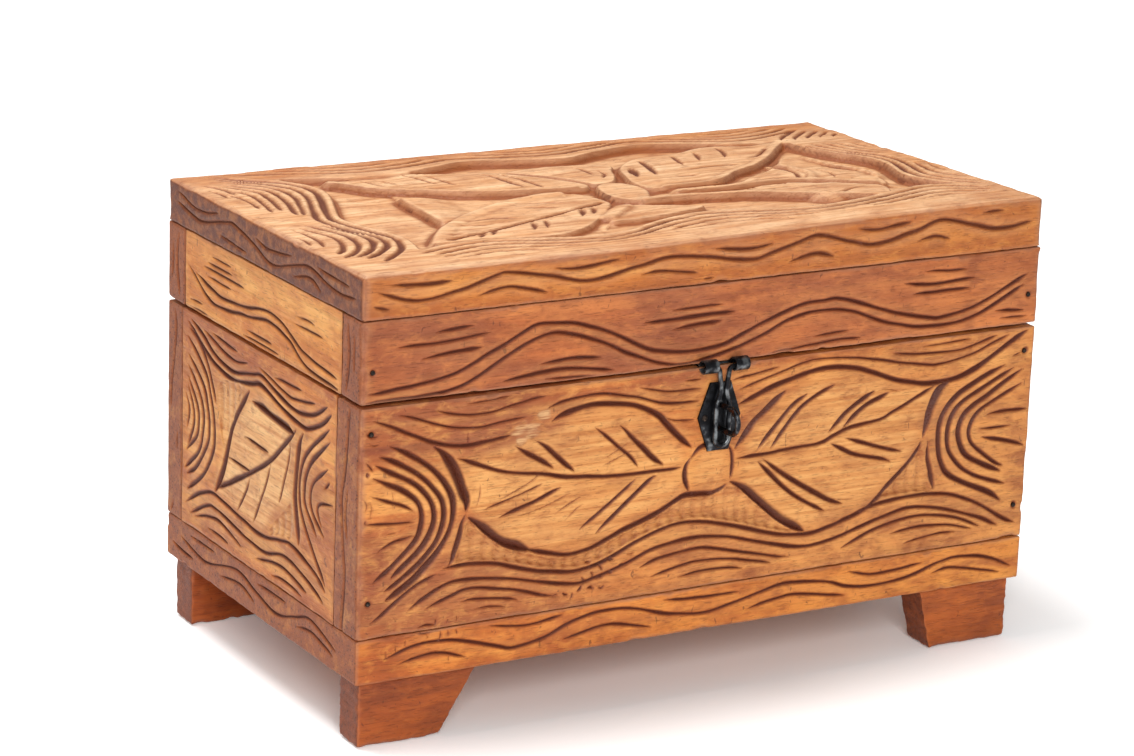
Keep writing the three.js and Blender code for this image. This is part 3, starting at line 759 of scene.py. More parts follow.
FRONT_RIGHT_LEAF = [
    (3.0, (239.5, 172), (252, 176), (264.5, 180.5), (281, 184.5), (296, 187), (308.5, 187), (321, 185.5),
     (333.5, 181.5), (343.5, 177.5), (356, 173.5), (369.5, 170.5), (383.5, 170), (396, 171.5),
     (408.5, 175.5), (421, 182.5), (433.5, 189.5), (445.5, 196)),
    ((1.2, 2.0), (239.5, 145), (246, 153.5), (252, 161), (258.5, 166), (266, 172), (274.5, 177.5)),
    ((3.4, 1.4), (237, 127.5), (246, 122.5), (256, 113.5), (268.5, 103), (277, 97), (286, 92), (292, 89.5)),
    ((1.6, 1.0), (308.5, 90), (331, 96.5), (341, 102.5), (349.5, 110.5), (358.5, 118), (364.5, 123.5),
     (369.5, 130), (372, 136)),
    ((1.6, 3.2), (372, 136), (373, 140), (374.5, 147.5), (376.5, 155), (379.5, 162.5), (383.5, 167),
     (391, 170)),
    (3.0, (376.5, 136), (376.5, 125), (379.5, 115), (383, 102.5)),
    (2.2, (241, 140), (271, 141), (298.5, 142.5), (308.5, 146), (321, 149.5), (341, 152), (349.5, 155.5),
     (361, 160), (379.5, 168)),
    (2.3, (254.5, 142), (262, 151), (271, 160), (279.5, 168), (289.5, 173.5)),
    (2.4, (264, 142.5), (279.5, 160.5), (291, 169.5), (308.5, 177.5)),
    (2.4, (304, 147), (311, 153.5), (318.5, 160.5), (337, 170.5)),
    (2.4, (313.5, 148.5), (328.5, 160.5), (347, 168.5)),
    (2.4, (255.5, 137.5), (263.5, 130), (283.5, 112.5), (306, 100)),
    (2.6, (259, 138.5), (279.5, 123.5), (306, 108), (318.5, 103)),
    (2.4, (306, 142), (324.5, 132.5), (343.5, 127.5), (351, 124.5)),
    (2.4, (316, 143.5), (341.5, 135), (358.5, 130)),
]
FRONT_RIGHT_ARCS = [
    (3.0, (430.5, 176), (406, 166), (394.5, 159.5), (387, 151), (384, 142.5), (384, 131), (387, 120),
     (393.5, 111), (413.5, 101), (426, 95.5), (433, 90)),
    (2.6, (438, 173.5), (413.5, 162.5), (402, 157), (394, 150), (390.5, 141), (391, 130), (394.5, 122.5),
     (403.5, 113.5), (414.5, 107.5), (436, 100.5)),
    (3.0, (444, 172), (421, 159.5), (408.5, 153), (401, 147), (398, 137.5), (400.5, 128.5), (407, 121),
     (423.5, 112.5), (432, 108.5)),
    (2.4, (444, 163.5), (421, 153), (411, 147.5), (406.5, 140), (407, 132.5), (412, 126), (426, 115.5),
     (433.5, 112)),
    (2.2, (417, 146), (433, 146.5), (449, 146)),
    (1.6, (412, 137.5), (425, 137), (437, 137)),
    (2.2, (414.5, 132.5), (436, 127), (448.5, 123)),
    (1.4, (433.5, 179.5), (441, 182)),
]
FRONT_GROUNDS = [
    (1.6, [(68, 126), (63, 113), (60, 103), (71, 102.5), (96, 98), (120, 91.5), (140, 89.5), (158, 93.5),
           (178, 101.5), (201, 107.5), (221, 107.5), (246, 101), (271, 93.5), (284, 91), (268, 102),
           (256, 112.5), (246, 120.5), (237, 124), (222, 119.5), (209, 120.5), (203, 119), (188, 111.5),
           (168, 105), (151, 98.5), (131, 95.5), (108, 101), (95, 105.5), (86, 110.5), (76, 118.5)]),
    (1.5, [(345, 104), (366, 104), (382, 102.5), (378, 115), (375, 127), (370, 129), (362, 120),
           (352, 111)]),
]
FRONT_LEAVES = [
    [(60, 162), (77, 168.5), (95, 172), (118, 176.5), (133, 182), (146, 183.5), (168, 181), (188, 172),
     (203, 157), (209, 148), (207, 134), (209, 123), (188, 114), (168, 107), (151, 100), (131, 98),
     (108, 103), (86, 113), (67, 129), (66, 142)],
    [(241, 136), (247, 154), (258, 166), (275, 178), (296, 186.5), (321, 185), (343, 177.5), (369, 170.5),
     (381, 167), (376, 154), (373, 140), (365, 124), (350, 111), (332, 97), (308, 90), (292, 90), (277, 97),
     (256, 114), (240, 127)],
    [(212, 126), (218, 122.5), (231, 122.5), (237, 128), (238, 140), (235, 148), (225, 150), (217, 149),
     (211, 142), (209.5, 134)],
]
FRONT_CRACKS = [
    (1.2, (2, 184), (8, 181), (12, 181.5)),
    (0.9, (5, 178), (9, 176), (13, 177)),
    (1.4, (3, 168), (6, 165), (9, 161)),
    (1.0, (2, 147), (5, 143), (4, 138)),
    (0.8, (6, 146), (8, 141), (7, 134)),
    (0.7, (16, 124.5), (24, 125)),
    (1.5, (37, 67), (43, 68.5), (50, 67.5)),
    (1.2, (49, 66.5), (49.5, 69.5), (49, 72)),
    (0.9, (56, 67), (57, 69), (56.5, 71)),
    (0.9, (62, 68), (62.5, 70), (62, 72)),
]
WORM_MARKS = [
    (1.3, (122, 73), (125, 74.5), (127, 74)),
    (1.5, (129, 76), (131, 74), (134, 73.5)),
    (1.2, (134, 70), (136, 72), (136, 75)),
    (1.7, (138, 74), (141, 76), (142, 79)),
    (1.4, (141, 84), (143, 81), (146, 80)),
    (1.8, (145, 75), (148, 76), (150, 74)),
    (1.3, (147, 86), (149, 83.5), (149, 80)),
    (1.6, (151, 79), (153, 81), (157, 81)),
    (1.2, (152, 75), (155, 74), (157, 76)),
    (1.5, (151, 88), (154, 87), (155, 84)),
    (1.3, (158, 84), (160, 82), (163, 82.5)),
    (1.4, (157, 92), (160, 90), (164, 90.5)),
    (1.1, (143, 90), (146, 91), (148, 90)),
    (1.0, (165, 86), (168, 87), (171, 86)),
    (0.9, (113, 75), (117, 76), (120, 75.5)),
    (1.0, (170, 93), (173, 92), (177, 93)),
]
FRONT_SCRATCHES = [
    (0.8, (84, 134), (104, 142), (118, 151)),
    (0.7, (97, 124), (113, 127), (133, 134)),
    (0.8, (122, 122), (133, 128), (140, 131)),
    (0.7, (128, 117), (137, 124), (142, 126)),
    (0.7, (150, 146), (161, 150), (174, 155)),
    (0.7, (151, 150), (163, 155), (172, 160)),
    (0.8, (21, 137), (21.5, 143), (20.5, 150)),
    (0.8, (72, 131), (75, 140), (75, 147)),
    (0.9, (66, 178), (66.5, 172), (65, 168)),
    (0.7, (257, 140), (262, 146), (270, 150)),
    (0.7, (300, 103), (312, 106), (326, 105)),
    (0.7, (330, 168), (343, 170), (356, 167)),
]
# A pit: its place, radius and depth
KNOTS = [(444, 183, 2.6, 1.0), (443, 87, 2.4, 1.0), (5, 160, 1.6, 1.2), (4, 133, 1.2, 1.0)]
FRONT = {
    "chips": [(103, 174, 9, 5), (99, 168, 4, 3), (113, 181, 6, 3)],
    "grooves": (FRONT_WAVES + FRONT_LEFT_ARCS + FRONT_LEFT_LEAF + FRONT_BOSS + FRONT_RIGHT_LEAF
                + FRONT_RIGHT_ARCS + FRONT_CRACKS + FRONT_SCRATCHES + WORM_MARKS),
    "grounds": FRONT_GROUNDS,
    "leaves": FRONT_LEAVES,
}
BOTTOM_FRONT = {"grooves": [
    (1.5, (36, 66), (42, 64.5), (48, 65)),
    (1.3, (52, 65.4), (52.5, 61.5), (51.5, 57.5)),
    (0.9, (44, 64.5), (44.5, 61.5), (44, 60)),
    (0.9, (57, 65), (57.5, 62), (57, 60)),
    (1.0, (30, 63), (31, 60.5), (30.5, 58)),
    (0.9, (24, 60), (25, 58), (24.5, 56)),
    (1.0, (62, 64.5), (63, 62), (62.5, 60)),
    (0.8, (18, 58), (19, 55), (18, 52)),
    (0.8, (57, 50), (58, 47), (57.5, 45)),
    (2.0, (16, 52), (36, 57.5), (49.5, 58.5), (63.5, 57), (88.5, 49.5), (99.5, 47), (119.5, 50.5),
     (142, 58.5), (161, 60.5), (178.5, 58.5), (201, 52), (226, 49.5), (243.5, 52.5), (273.5, 58.5),
     (288, 59), (311, 55.5), (324.5, 51), (343.5, 49), (368.5, 51), (391, 57), (405, 58.5), (426, 55),
     (445, 47)),
    (1.8, (24.5, 48), (49.5, 51.5), (70.5, 46)),
    (1.8, (82, 63), (106, 59), (131.5, 62)),
    (1.8, (129, 46.5), (160, 51.5), (190.5, 45.5)),
    (1.8, (195.5, 61.5), (221, 59), (249, 59)),
    (1.8, (253, 47), (284, 51.5), (324, 45.5)),
    (1.8, (323, 60.5), (344.5, 56), (379.5, 58.5)),
    (1.8, (383.5, 50.5), (402, 52), (437, 44)),
]}
TOP_FRONT = {"grooves": [
    (2.1, (8, 261.5), (27, 255.5), (39, 254.5), (60, 258), (81.5, 264), (90, 264.5), (114.5, 260.5),
     (140, 255), (170, 260), (192, 263.5), (214.5, 261), (245, 256.5), (260, 259), (283, 264),
     (294, 264.5), (314.5, 259), (331, 256.5), (357, 260.5), (377, 265), (399, 261), (418, 257.5),
     (443, 259.5)),
    (2.2, (15, 265), (35, 263), (55, 263.5)),
    (2.0, (6, 254), (17.5, 251)),
    (1.8, (68, 253), (90, 256.5), (114.5, 251)),
    (2.0, (116, 264.5), (133, 263), (160, 265.5)),
    (1.8, (171.5, 255), (186, 256), (211.5, 252.5)),
    (2.0, (219.5, 265), (243, 262.5), (261.5, 264)),
    (2.0, (270, 252.5), (289, 255.5), (303, 252.5)),
    (2.0, (316, 266), (333, 264), (356, 266)),
    (1.8, (359, 255.5), (373, 257), (384.5, 254.5)),
    (1.8, (404.5, 266.5), (422.5, 266.5)),
    (1.5, (213, 248.5), (221.5, 248.5)),
]}
LID_FRONT = {"grooves": [
    (2.2, (2.5, 205), (30, 207), (56, 211), (67, 215), (79, 220.5), (99, 230), (107.5, 233.5),
     (117.5, 233.5), (130, 232), (141.5, 229), (154.5, 224.5), (177.5, 213), (189, 209.5), (206, 207.5),
     (223, 208.5), (234.5, 211), (257, 219.5), (280, 227), (298, 228.5), (307.5, 228.5), (324.5, 223.5),
     (346, 216), (370, 210.5), (381.5, 209.5), (404.5, 214), (424.5, 222.5), (442, 230.5)),
    (2.1, (0, 200), (39, 200.5), (60, 203.5), (81.5, 213.5), (101.5, 223.5), (119, 227.5), (141.5, 222.5),
     (166, 211.5), (189, 202.5), (205, 200), (231.5, 204.5), (254.5, 211.5), (274.5, 219.5), (296, 222.5),
     (317, 219.5), (339, 211.5), (361.5, 206), (387, 205), (410, 210), (431.5, 220), (440, 224)),
    (2.0, (43, 235.5), (69.5, 237.5)),
    (2.0, (20, 229.5), (53, 230), (79, 232.5)),
    (2.2, (34.5, 221.5), (54, 223.5), (74.5, 224.5)),
    (2.0, (109, 211), (131.5, 212), (150.5, 210.5)),
    (2.2, (85.5, 203.5), (124.5, 206.5), (159, 202)),
    (1.8, (112.5, 201.5), (147.5, 200)),
    (1.8, (193, 232.5), (229.5, 233)),
    (2.2, (174.5, 227), (206, 227.5), (237.5, 228)),
    (2.2, (194, 221.5), (211, 223), (229, 223.5)),
    (1.6, (289, 207.5), (316, 208.5)),
    (1.8, (259, 199.9), (304, 203.5), (325, 203.5)),
    (1.8, (365, 238.5), (398, 237)),
    (2.0, (351, 232.5), (376, 230.5), (404, 231.5)),
    (1.8, (357.5, 225.5), (401, 225.5)),
    (1.8, (418, 209.5), (441.5, 208)),
    (1.6, (421.5, 204.5), (444, 204)),
]}

# What is carved on the left end. Its drawing is measured from the front face, and its middle is that of the
# left board, between the front and back boards.

SIDE_MIDDLE = 130.0

LEFT_WAVES = [
    (2.4, (220, 194), (204, 188), (190, 181), (176, 177.5), (160, 176.5), (136, 181.5), (124, 183.5),
     (98, 177.5), (84, 175.5), (70, 176), (56, 179.5), (39, 188.5)),
    (2.6, (224, 192), (194, 177), (166, 171.5), (138, 175.5), (124, 178), (98, 172), (72, 168.5),
     (60, 170.5), (48, 176), (34, 185.5)),
    (1.8, (202, 191.5), (172, 184.5), (156, 183.5), (141, 187)),
    (1.8, (190, 192.5), (172, 190.5), (154, 189.5)),
    (1.8, (127, 188), (96, 182.5), (80, 181.5), (54, 186)),
    (1.8, (108, 187.5), (90, 188), (71, 188.5)),
    (2.4, (226, 79), (204, 91), (186, 95.5), (156, 92.5), (122, 89.5), (98, 94), (82, 95.5), (54, 89),
     (38, 81)),
    (2.2, (219, 74), (196, 85.5), (182, 87), (142, 82), (116, 81), (92, 86.5), (64, 81.5), (40, 74)),
    (2.0, (214, 74), (188, 80.5), (172, 80), (146, 74.5)),
    (1.8, (195, 72.5), (180, 72), (164, 71)),
    (2.0, (129, 74), (95, 79), (61, 73.5)),
    (1.8, (108, 70), (90, 72), (67, 69.5)),
]
LEFT_BACK_ARCS = [
    (2.6, (222, 188), (208, 182), (196, 172), (188, 160), (183, 151)),
    (2.8, (224, 183), (200, 167), (192, 156), (187, 142), (186, 130), (188, 120), (200, 104), (223, 88)),
    (2.8, (223, 172), (202, 158), (196, 147), (193, 136), (195, 124), (210, 106), (224, 97)),
    (2.6, (223, 166), (206, 151), (201, 140), (202, 128), (207, 116), (227, 100)),
    (2.4, (223, 159), (210, 143), (208, 134), (211, 124), (225, 112)),
    (2.2, (223, 154), (214, 134), (223, 114)),
    (2.0, (226, 148), (221, 138), (224, 125)),
]
LEFT_FRONT_ARCS = [
    (2.6, (36, 177), (60, 159), (69, 149), (73, 138), (73, 128), (70, 118), (56, 101), (39, 84)),
    (2.6, (35, 170), (56, 154), (64, 144), (67, 134), (65, 124), (50, 110)),
    (2.4, (37, 154), (54, 142), (59, 132), (56, 122), (41, 112)),
    (2.2, (35, 147), (43, 140)),
    (2.2, (30, 134), (48, 130), (50, 124), (44, 117)),
    ((1.2, 2.4), (68, 166), (75, 156), (79, 132), (78, 120), (73, 98)),
]
LEFT_LEAF = [
    ((1.4, 2.4), (138, 172), (148, 162), (158, 150), (164, 140), (168, 128), (173, 116), (184, 97)),
    (3.2, (77, 165.5), (100, 146), (116, 134), (146, 118), (182, 100.5)),
    (1.8, (146, 142.5), (112, 141.5)),
    (1.8, (169, 124), (134, 123)),
    (1.8, (136, 121), (142, 110), (153, 95)),
    (1.8, (109, 138), (116, 122), (132, 94)),
    (1.8, (85, 156), (88, 142), (99, 115)),
    ((1.0, 3.0), (136, 166), (108, 163), (80, 160.5)),
]
LEFT_FRONT_END = [
    (2.2, (13, 197), (17, 160), (21, 140), (18, 114), (16, 96), (20, 56)),
    (1.8, (13, 150), (16, 134), (13, 120)),
]
LEFT_BACK_END = [
    (2.0, (241, 196), (240, 180), (246, 146), (246, 132)),
    (1.6, (237, 120), (238, 108)),
    (1.6, (242, 76), (246, 68)),
]
LEFT = {
    "grooves": LEFT_WAVES + LEFT_BACK_ARCS + LEFT_FRONT_ARCS + LEFT_LEAF,
    "grounds": [
        (1.0, [(145, 170), (160, 171), (176, 167), (182, 158), (178, 140), (172, 128), (166, 138),
               (158, 152)]),
        (0.9, [(82, 100), (98, 97), (112, 93), (104, 103), (92, 113), (82, 120)]),
    ],
    "leaves": [[(136, 172), (148, 162), (158, 150), (164, 140), (168, 128), (173, 116), (183, 98), (160, 94),
                (130, 90), (116, 92), (104, 103), (90, 113), (80, 120), (79, 145), (78, 164), (96, 170),
                (116, 176)]],
}
BOTTOM_LEFT = {"grooves": [
    (2.0, (232, 56), (206, 50.5), (190, 51), (160, 58), (144, 57.5), (104, 49), (78, 54.5), (57, 59.5),
     (24, 51)),
    (1.8, (244, 49.5), (230, 47), (213, 46.5)),
    (1.8, (177, 48), (150, 51.5), (128, 46.5)),
    (1.8, (218, 60), (183, 60)),
    (1.8, (126, 59.5), (87, 59.5)),
    (1.8, (75, 50), (54, 52.5), (27, 47)),
]}
TOP_LEFT = {"grooves": [
    (2.0, (240, 260), (216, 255), (202, 255.5), (176, 261.5), (162, 262.5), (138, 257.5), (114, 251),
     (92, 255.5), (68, 261), (46, 257), (30, 255), (8, 256.5)),
    (1.8, (240, 266), (212, 260.5), (182, 265)),
    (1.8, (182, 253), (162, 251), (144, 250)),
    (1.8, (134, 262), (118, 259), (86, 262)),
    (1.8, (86, 251), (65, 255), (49, 250)),
    (1.8, (56, 263), (36, 262), (16, 261)),
]}
LID_LEFT = {"grooves": [
    (2.2, (214, 223), (190, 217.5), (176, 216), (146, 218.5), (118, 223), (96, 220), (72, 211), (44, 208),
     (29, 206.5)),
    (2.2, (224, 226), (198, 212), (178, 210), (142, 214), (114, 217.5), (90, 213), (66, 203.5), (27, 200.5)),
    (1.6, (193, 237), (164, 237)),
    (1.8, (198, 232.5), (163, 232.5)),
    (1.8, (204, 229), (147, 229)),
    (1.6, (198, 224), (164, 224)),
    (1.8, (146, 205.5), (110, 205.5)),
    (1.8, (149, 201.5), (101, 201.5)),
    (1.6, (222, 205.5), (203, 205.5)),
    (1.6, (220, 200.5), (196, 200.5)),
    (1.4, (81, 230), (56, 230)),
    (1.4, (83, 225), (46, 225)),
]}
LID_FRONT_END = {"grooves": [
    (2.2, (17, 243), (15, 225), (18, 203)),
    (1.6, (9, 238), (9, 215)),
]}
LID_BACK_END = {"grooves": [
    (2.0, (236, 243), (239, 225), (235, 203)),
    (1.6, (244, 236), (245, 212)),
]}


# What is carved on the top: ribs round its edges, and leaves round a boss in a sunk panel.
# Its drawing is measured from the left end and from the front face.

TOP_LEFT_RIBS = [
    (4.2, (21, 247), (34, 234), (48, 223), (58, 213), (63.5, 201), (64, 189), (61, 176), (51, 149),
     (44, 129), (43.5, 119), (46, 106), (54, 79), (55, 69), (52, 58), (46, 46), (26, 26)),
    (4.0, (20, 242), (30, 231), (41, 221), (50, 211), (55.5, 200), (56, 189), (53, 175), (44, 150),
     (37, 130), (36.5, 118), (39, 105), (46.5, 84), (48, 72), (45, 60), (37, 49), (20, 35)),
    (3.8, (22, 232), (34, 220), (44, 209), (48, 198), (48, 186), (45, 172), (38, 152), (33, 138)),
    (3.8, (21, 224), (30, 215), (38, 206), (41, 196), (40, 184), (37, 168), (32, 150), (30, 140)),
    (3.6, (17, 222), (27, 210), (33, 198), (32, 183), (29, 166), (26, 152)),
    (3.4, (17, 212), (23, 203), (26, 193), (25, 180), (22, 164), (19, 150)),
    (3.0, (12, 204), (17, 190), (18, 175), (16, 160)),
    (3.8, (32, 116), (36, 102), (41, 88), (42, 74), (37, 61), (28, 49), (16, 40)),
    (3.6, (23, 119), (28, 104), (33, 90), (33, 77), (29, 63), (20, 50), (9, 41)),
    (3.4, (17, 113), (21, 99), (25, 86), (23, 71), (17, 58), (9, 49)),
    (3.0, (11, 110), (14, 96), (14, 81), (10, 66)),
    (3.0, (8, 226), (14, 219), (18, 208), (18, 196)),
    (3.0, (7, 214), (11, 203), (11, 190)),
    (3.0, (5, 96), (7, 84), (5, 72)),
]
TOP_FRONT_RIBS = [
    (3.8, (51, 34), (70, 41.5), (89, 45.5), (103, 45), (129, 38), (150, 32), (170, 29), (188, 33), (204, 41),
     (225, 49), (246, 53), (268, 48), (288, 41), (310, 36), (330, 36), (355, 41), (379, 48), (402, 54),
     (420, 50), (438, 39)),
    (3.6, (57, 29), (74, 34.5), (89, 38.5), (103, 38), (129, 31), (150, 25.5), (170, 23.5), (188, 27),
     (204, 34), (225, 41.5), (246, 45.5), (268, 41), (288, 34.5), (310, 29.5), (330, 29.5), (355, 34),
     (379, 41), (402, 46.5), (420, 42.5), (436, 33)),
    (3.4, (60, 23), (76, 28), (90, 31), (104, 30.5), (128, 24.5), (148, 20)),
    (3.4, (206, 27.5), (225, 34), (246, 38), (268, 34), (288, 28), (308, 24)),
    (3.4, (344, 26), (362, 29.5), (380, 34), (402, 39), (420, 35), (432, 28)),
    (2.8, (66, 19), (90, 23.5), (104, 23), (122, 19.5)),
    (2.8, (220, 27), (246, 30.5), (266, 27.5), (286, 22)),
    (2.8, (372, 26), (400, 31.5), (418, 28)),
]
TOP_BACK_RIBS = [
    (4.0, (31, 246), (55, 240), (79, 233.5), (100, 228), (120, 226), (145, 229), (172, 236), (186, 236),
     (215, 230), (246, 226), (275, 233), (304, 240), (330, 232), (362, 219), (379, 217), (405, 223),
     (429, 233)),
    (3.6, (60, 245), (80, 240), (100, 235), (120, 233), (145, 236), (165, 241.5)),
    (3.6, (190, 242), (215, 237), (246, 233), (275, 239), (298, 245)),
    (3.6, (318, 243), (340, 235), (362, 226.5), (380, 224.5), (405, 230), (424, 239)),
    (3.0, (82, 245.5), (100, 241.5), (120, 239.5), (142, 242.5)),
    (3.0, (212, 243.5), (246, 239.5), (272, 245)),
    (3.0, (344, 241), (364, 233.5), (380, 232), (402, 237), (414, 241)),
    (2.6, (356, 242), (380, 239), (400, 243)),
]
TOP_RIGHT_RIBS = [
    (4.0, (401, 193), (406, 178), (413, 163), (421, 149), (426, 135), (426, 122), (422, 108), (418, 94),
     (418, 82), (423, 70), (433, 57), (444, 47)),
    (3.8, (410, 191), (414, 176), (421, 160), (429, 147), (433, 134), (433, 122), (430, 108), (426, 93),
     (426, 81), (431, 69), (443, 57)),
    (3.6, (419, 190), (422, 175), (428, 161), (436, 149)),
    (3.4, (428, 188), (431, 173), (437, 159)),
    (3.0, (437, 186), (439, 171), (443, 161)),
    (3.6, (439, 118), (436, 104), (434, 91), (438, 78), (446, 68)),
    (3.0, (445, 114), (443, 100), (443, 88)),
    (3.2, (399, 205), (405, 214), (414, 222), (426, 231)),
    (3.2, (408, 203), (413, 211), (422, 219), (433, 228)),
    (3.2, (417, 203), (422, 210), (431, 218), (440, 225)),
    (3.0, (427, 203), (431, 209), (438, 215), (444, 221)),
    (3.0, (436, 203), (440, 208), (446, 214)),
    (2.8, (444, 178), (446, 166), (447, 154)),
]
TOP_PANEL = [
    (58, 224), (79, 220), (104, 214), (138, 216), (160, 222), (185, 228), (215, 221), (246, 214), (270, 222),
    (296, 229), (315, 229), (340, 220), (362, 210), (380, 207), (394, 208), (399, 198), (403, 178),
    (409, 162), (417, 147), (421, 134), (420, 120), (416, 106), (412, 94), (412, 82), (417, 68),
    (424, 56), (402, 59), (379, 53), (355, 46), (330, 41), (310, 41), (288, 46), (268, 53), (246, 58),
    (225, 54), (204, 46), (188, 38), (170, 34), (150, 37), (129, 43), (103, 50), (89, 50.5), (70, 47),
    (57, 42), (59, 55), (61, 68), (59, 81), (52, 106), (49, 119), (50, 130), (57, 149), (67, 175),
    (70, 190), (68, 205),
]
PANEL_DEPTH = 4.6
PANEL_SLOPE = 3.2
RIB_HEADROOM = 0.3

# A raised leaf: how far its top lies under the board's face, how wide its sides slope, and its outline
TOP_LEAVES = [
    (0.7, 3.2, [(84, 213), (97, 214), (112, 213), (132, 216), (150, 213), (170, 205), (188, 199), (203, 187),
                (215, 172), (223, 158), (226, 147), (218, 140), (203, 141), (185, 144), (165, 149),
                (150, 154), (130, 165), (115, 171), (100, 183), (88, 200), (80, 207)]),
    (1.0, 3.5, [(72, 57), (80, 70), (90, 83), (101, 94), (118, 108), (140, 121), (160, 131), (180, 136),
                (200, 135), (210, 129), (214, 118), (216, 105), (207, 92), (195, 78), (182, 65), (168, 55),
                (150, 49), (128, 50), (104, 55), (86, 56)]),
    (1.2, 3.0, [(222, 97), (205, 82), (190, 66), (204, 63), (222, 64), (240, 67), (256, 71), (262, 77),
                (250, 84), (236, 90)]),
    (0.7, 3.2, [(227, 102), (245, 103), (262, 102), (280, 99), (300, 100), (320, 105), (340, 104), (352, 98),
                (366, 92), (380, 82), (386, 74), (384, 62), (376, 50), (370, 47), (358, 53), (345, 60),
                (330, 69), (315, 77), (300, 85), (280, 91), (262, 96), (240, 98)]),
    (1.5, 4.0, [(262, 112), (280, 110), (300, 108), (318, 110), (335, 110), (352, 105), (366, 95),
                (382, 86), (394, 80), (400, 96), (398, 115), (390, 130), (387, 150), (385, 165), (374, 170),
                (360, 154), (345, 142), (328, 132), (306, 118), (280, 116)]),
    (0.6, 3.2, [(253, 125), (275, 122), (300, 124), (313, 131), (325, 141), (345, 151), (360, 163),
                (374, 177), (388, 192), (401, 206), (388, 207), (372, 206), (350, 213), (336, 211),
                (322, 205), (304, 203), (288, 200), (274, 192), (262, 178), (255, 160), (250, 143)]),
    (1.3, 3.5, [(229, 151), (223, 166), (214, 181), (201, 192), (194, 198), (205, 203), (222, 206),
                (242, 204), (258, 199), (267, 190), (261, 179), (255, 165), (247, 153), (238, 149)]),
    (0.1, 3.0, [(219, 117), (220, 129), (224, 140), (232, 147), (241, 146), (248, 138), (251, 126),
                (248, 114), (241, 104), (231, 101), (223, 106)]),
]

# A ridge: its height over the panel's ground, its reach to the left and right of its line, and its points
TOP_RIDGES = [
    (4.9, 9, 3.2, (78, 211), (88, 203), (100, 187), (115, 175), (130, 168.5), (150, 157.5), (165, 152.5),
     (185, 147.5), (203, 144.5), (219, 143)),
    (4.0, 30, 3.5, (106, 163), (104, 145), (103, 125), (101, 96)),
    (4.4, 4, 18, (74, 60), (88, 79), (102, 93), (119, 107), (141, 120), (162, 130), (184, 135.5),
     (203, 134)),
    (4.3, 6, 14, (224, 95), (206, 81), (192, 67)),
    (4.7, 16, 2.8, (230, 100), (262, 98), (281, 93), (301, 87), (331, 71), (358, 55), (373, 48)),
    (4.4, 14, 2.8, (258, 125), (276, 123.5), (299, 125), (312, 132.5), (325, 142.5), (345, 153), (360, 165),
     (374, 179), (388, 194), (400, 205)),
    (3.9, 12, 3, (262, 113), (300, 110), (336, 112), (356, 106), (372, 94), (392, 82)),
    (4.2, 10, 3, (355, 150), (361, 138), (363, 122), (352, 104)),
    (3.9, 10, 3, (384, 165), (388, 142), (397, 118), (399, 96)),
    (4.0, 8, 8, (330, 74), (345, 64), (364, 70), (382, 76)),
]
TOP_VEINS = [
    (2.2, (103, 210), (106, 200), (110, 188)),
    (2.2, (112, 210), (116, 199), (120, 184)),
    (3.0, (133, 214), (137, 202), (142, 182)),
    (3.0, (143, 213), (147, 201), (151, 176)),
    (3.8, (178, 200), (183, 182), (187, 156)),
    (3.8, (189, 196), (194, 177), (197, 152)),
    (1.6, (94, 208), (110, 199), (130, 190)),
    (4.4, (117, 94), (130, 96), (146, 91)),
    (3.2, (103, 88), (113, 84), (126, 83)),
    (2.6, (160, 122.5), (174, 120), (188, 114)),
    (3.4, (155, 112), (168, 110), (181, 104)),
    ((1.0, 2.2), (78, 60), (98, 66), (120, 72), (150, 84), (182, 96), (212, 108)),
    (3.6, (103, 60), (107, 64), (111, 70)),
    (3.6, (112, 62), (116, 67), (119, 73)),
    (3.6, (139, 62), (144, 70), (149, 81)),
    (3.6, (149, 63), (153, 71), (158, 83)),
    (3.4, (181, 80), (186, 88), (191, 98)),
    (3.4, (190, 83), (195, 91), (200, 100)),
    (2.2, (84, 72), (98, 70)),
    (2.4, (262, 100), (282, 98), (299, 96)),
    (2.4, (300, 97), (318, 100), (336, 102)),
    (2.4, (308, 91), (322, 93), (338, 92)),
    (2.6, (310, 87), (330, 76), (345, 66), (362, 72), (378, 77)),
    (3.0, (350, 152), (356, 140), (357, 126), (350, 110)),
    (2.4, (270, 113), (292, 113), (312, 117)),
    (2.4, (372, 104), (376, 116), (374, 130)),
    (2.4, (318, 118), (336, 121), (352, 117)),
    (3.2, (277, 144), (288, 144), (300, 142)),
    (3.2, (298, 157), (318, 160), (338, 158)),
    (4.6, (262, 152), (266, 163), (271, 178)),
    (4.6, (275, 152), (281, 170), (287, 194)),
    (3.0, (304, 168), (308, 182), (312, 198)),
    (3.0, (320, 176), (326, 188), (330, 200)),
    (3.0, (340, 178), (347, 192), (351, 208)),
    (2.4, (350, 170), (364, 178), (380, 194)),
    (2.6, (222, 166), (226, 157), (228, 149)),
    (3.0, (240, 196), (243, 184), (241, 170)),
    (2.4, (250, 184), (250, 172), (243, 162)),
    (1.0, (76, 178), (92, 172), (98, 168)),
    (1.0, (72, 150), (84, 146), (90, 143)),
    (1.0, (66, 118), (80, 114), (88, 112)),
    (1.2, (392, 168), (400, 158), (406, 146)),
]
RIDGE_FADE = 9.0
LEAF_STEEP = 0.62
LEAF_DOME = 0.6
LEAF_DOME_REACH = 16


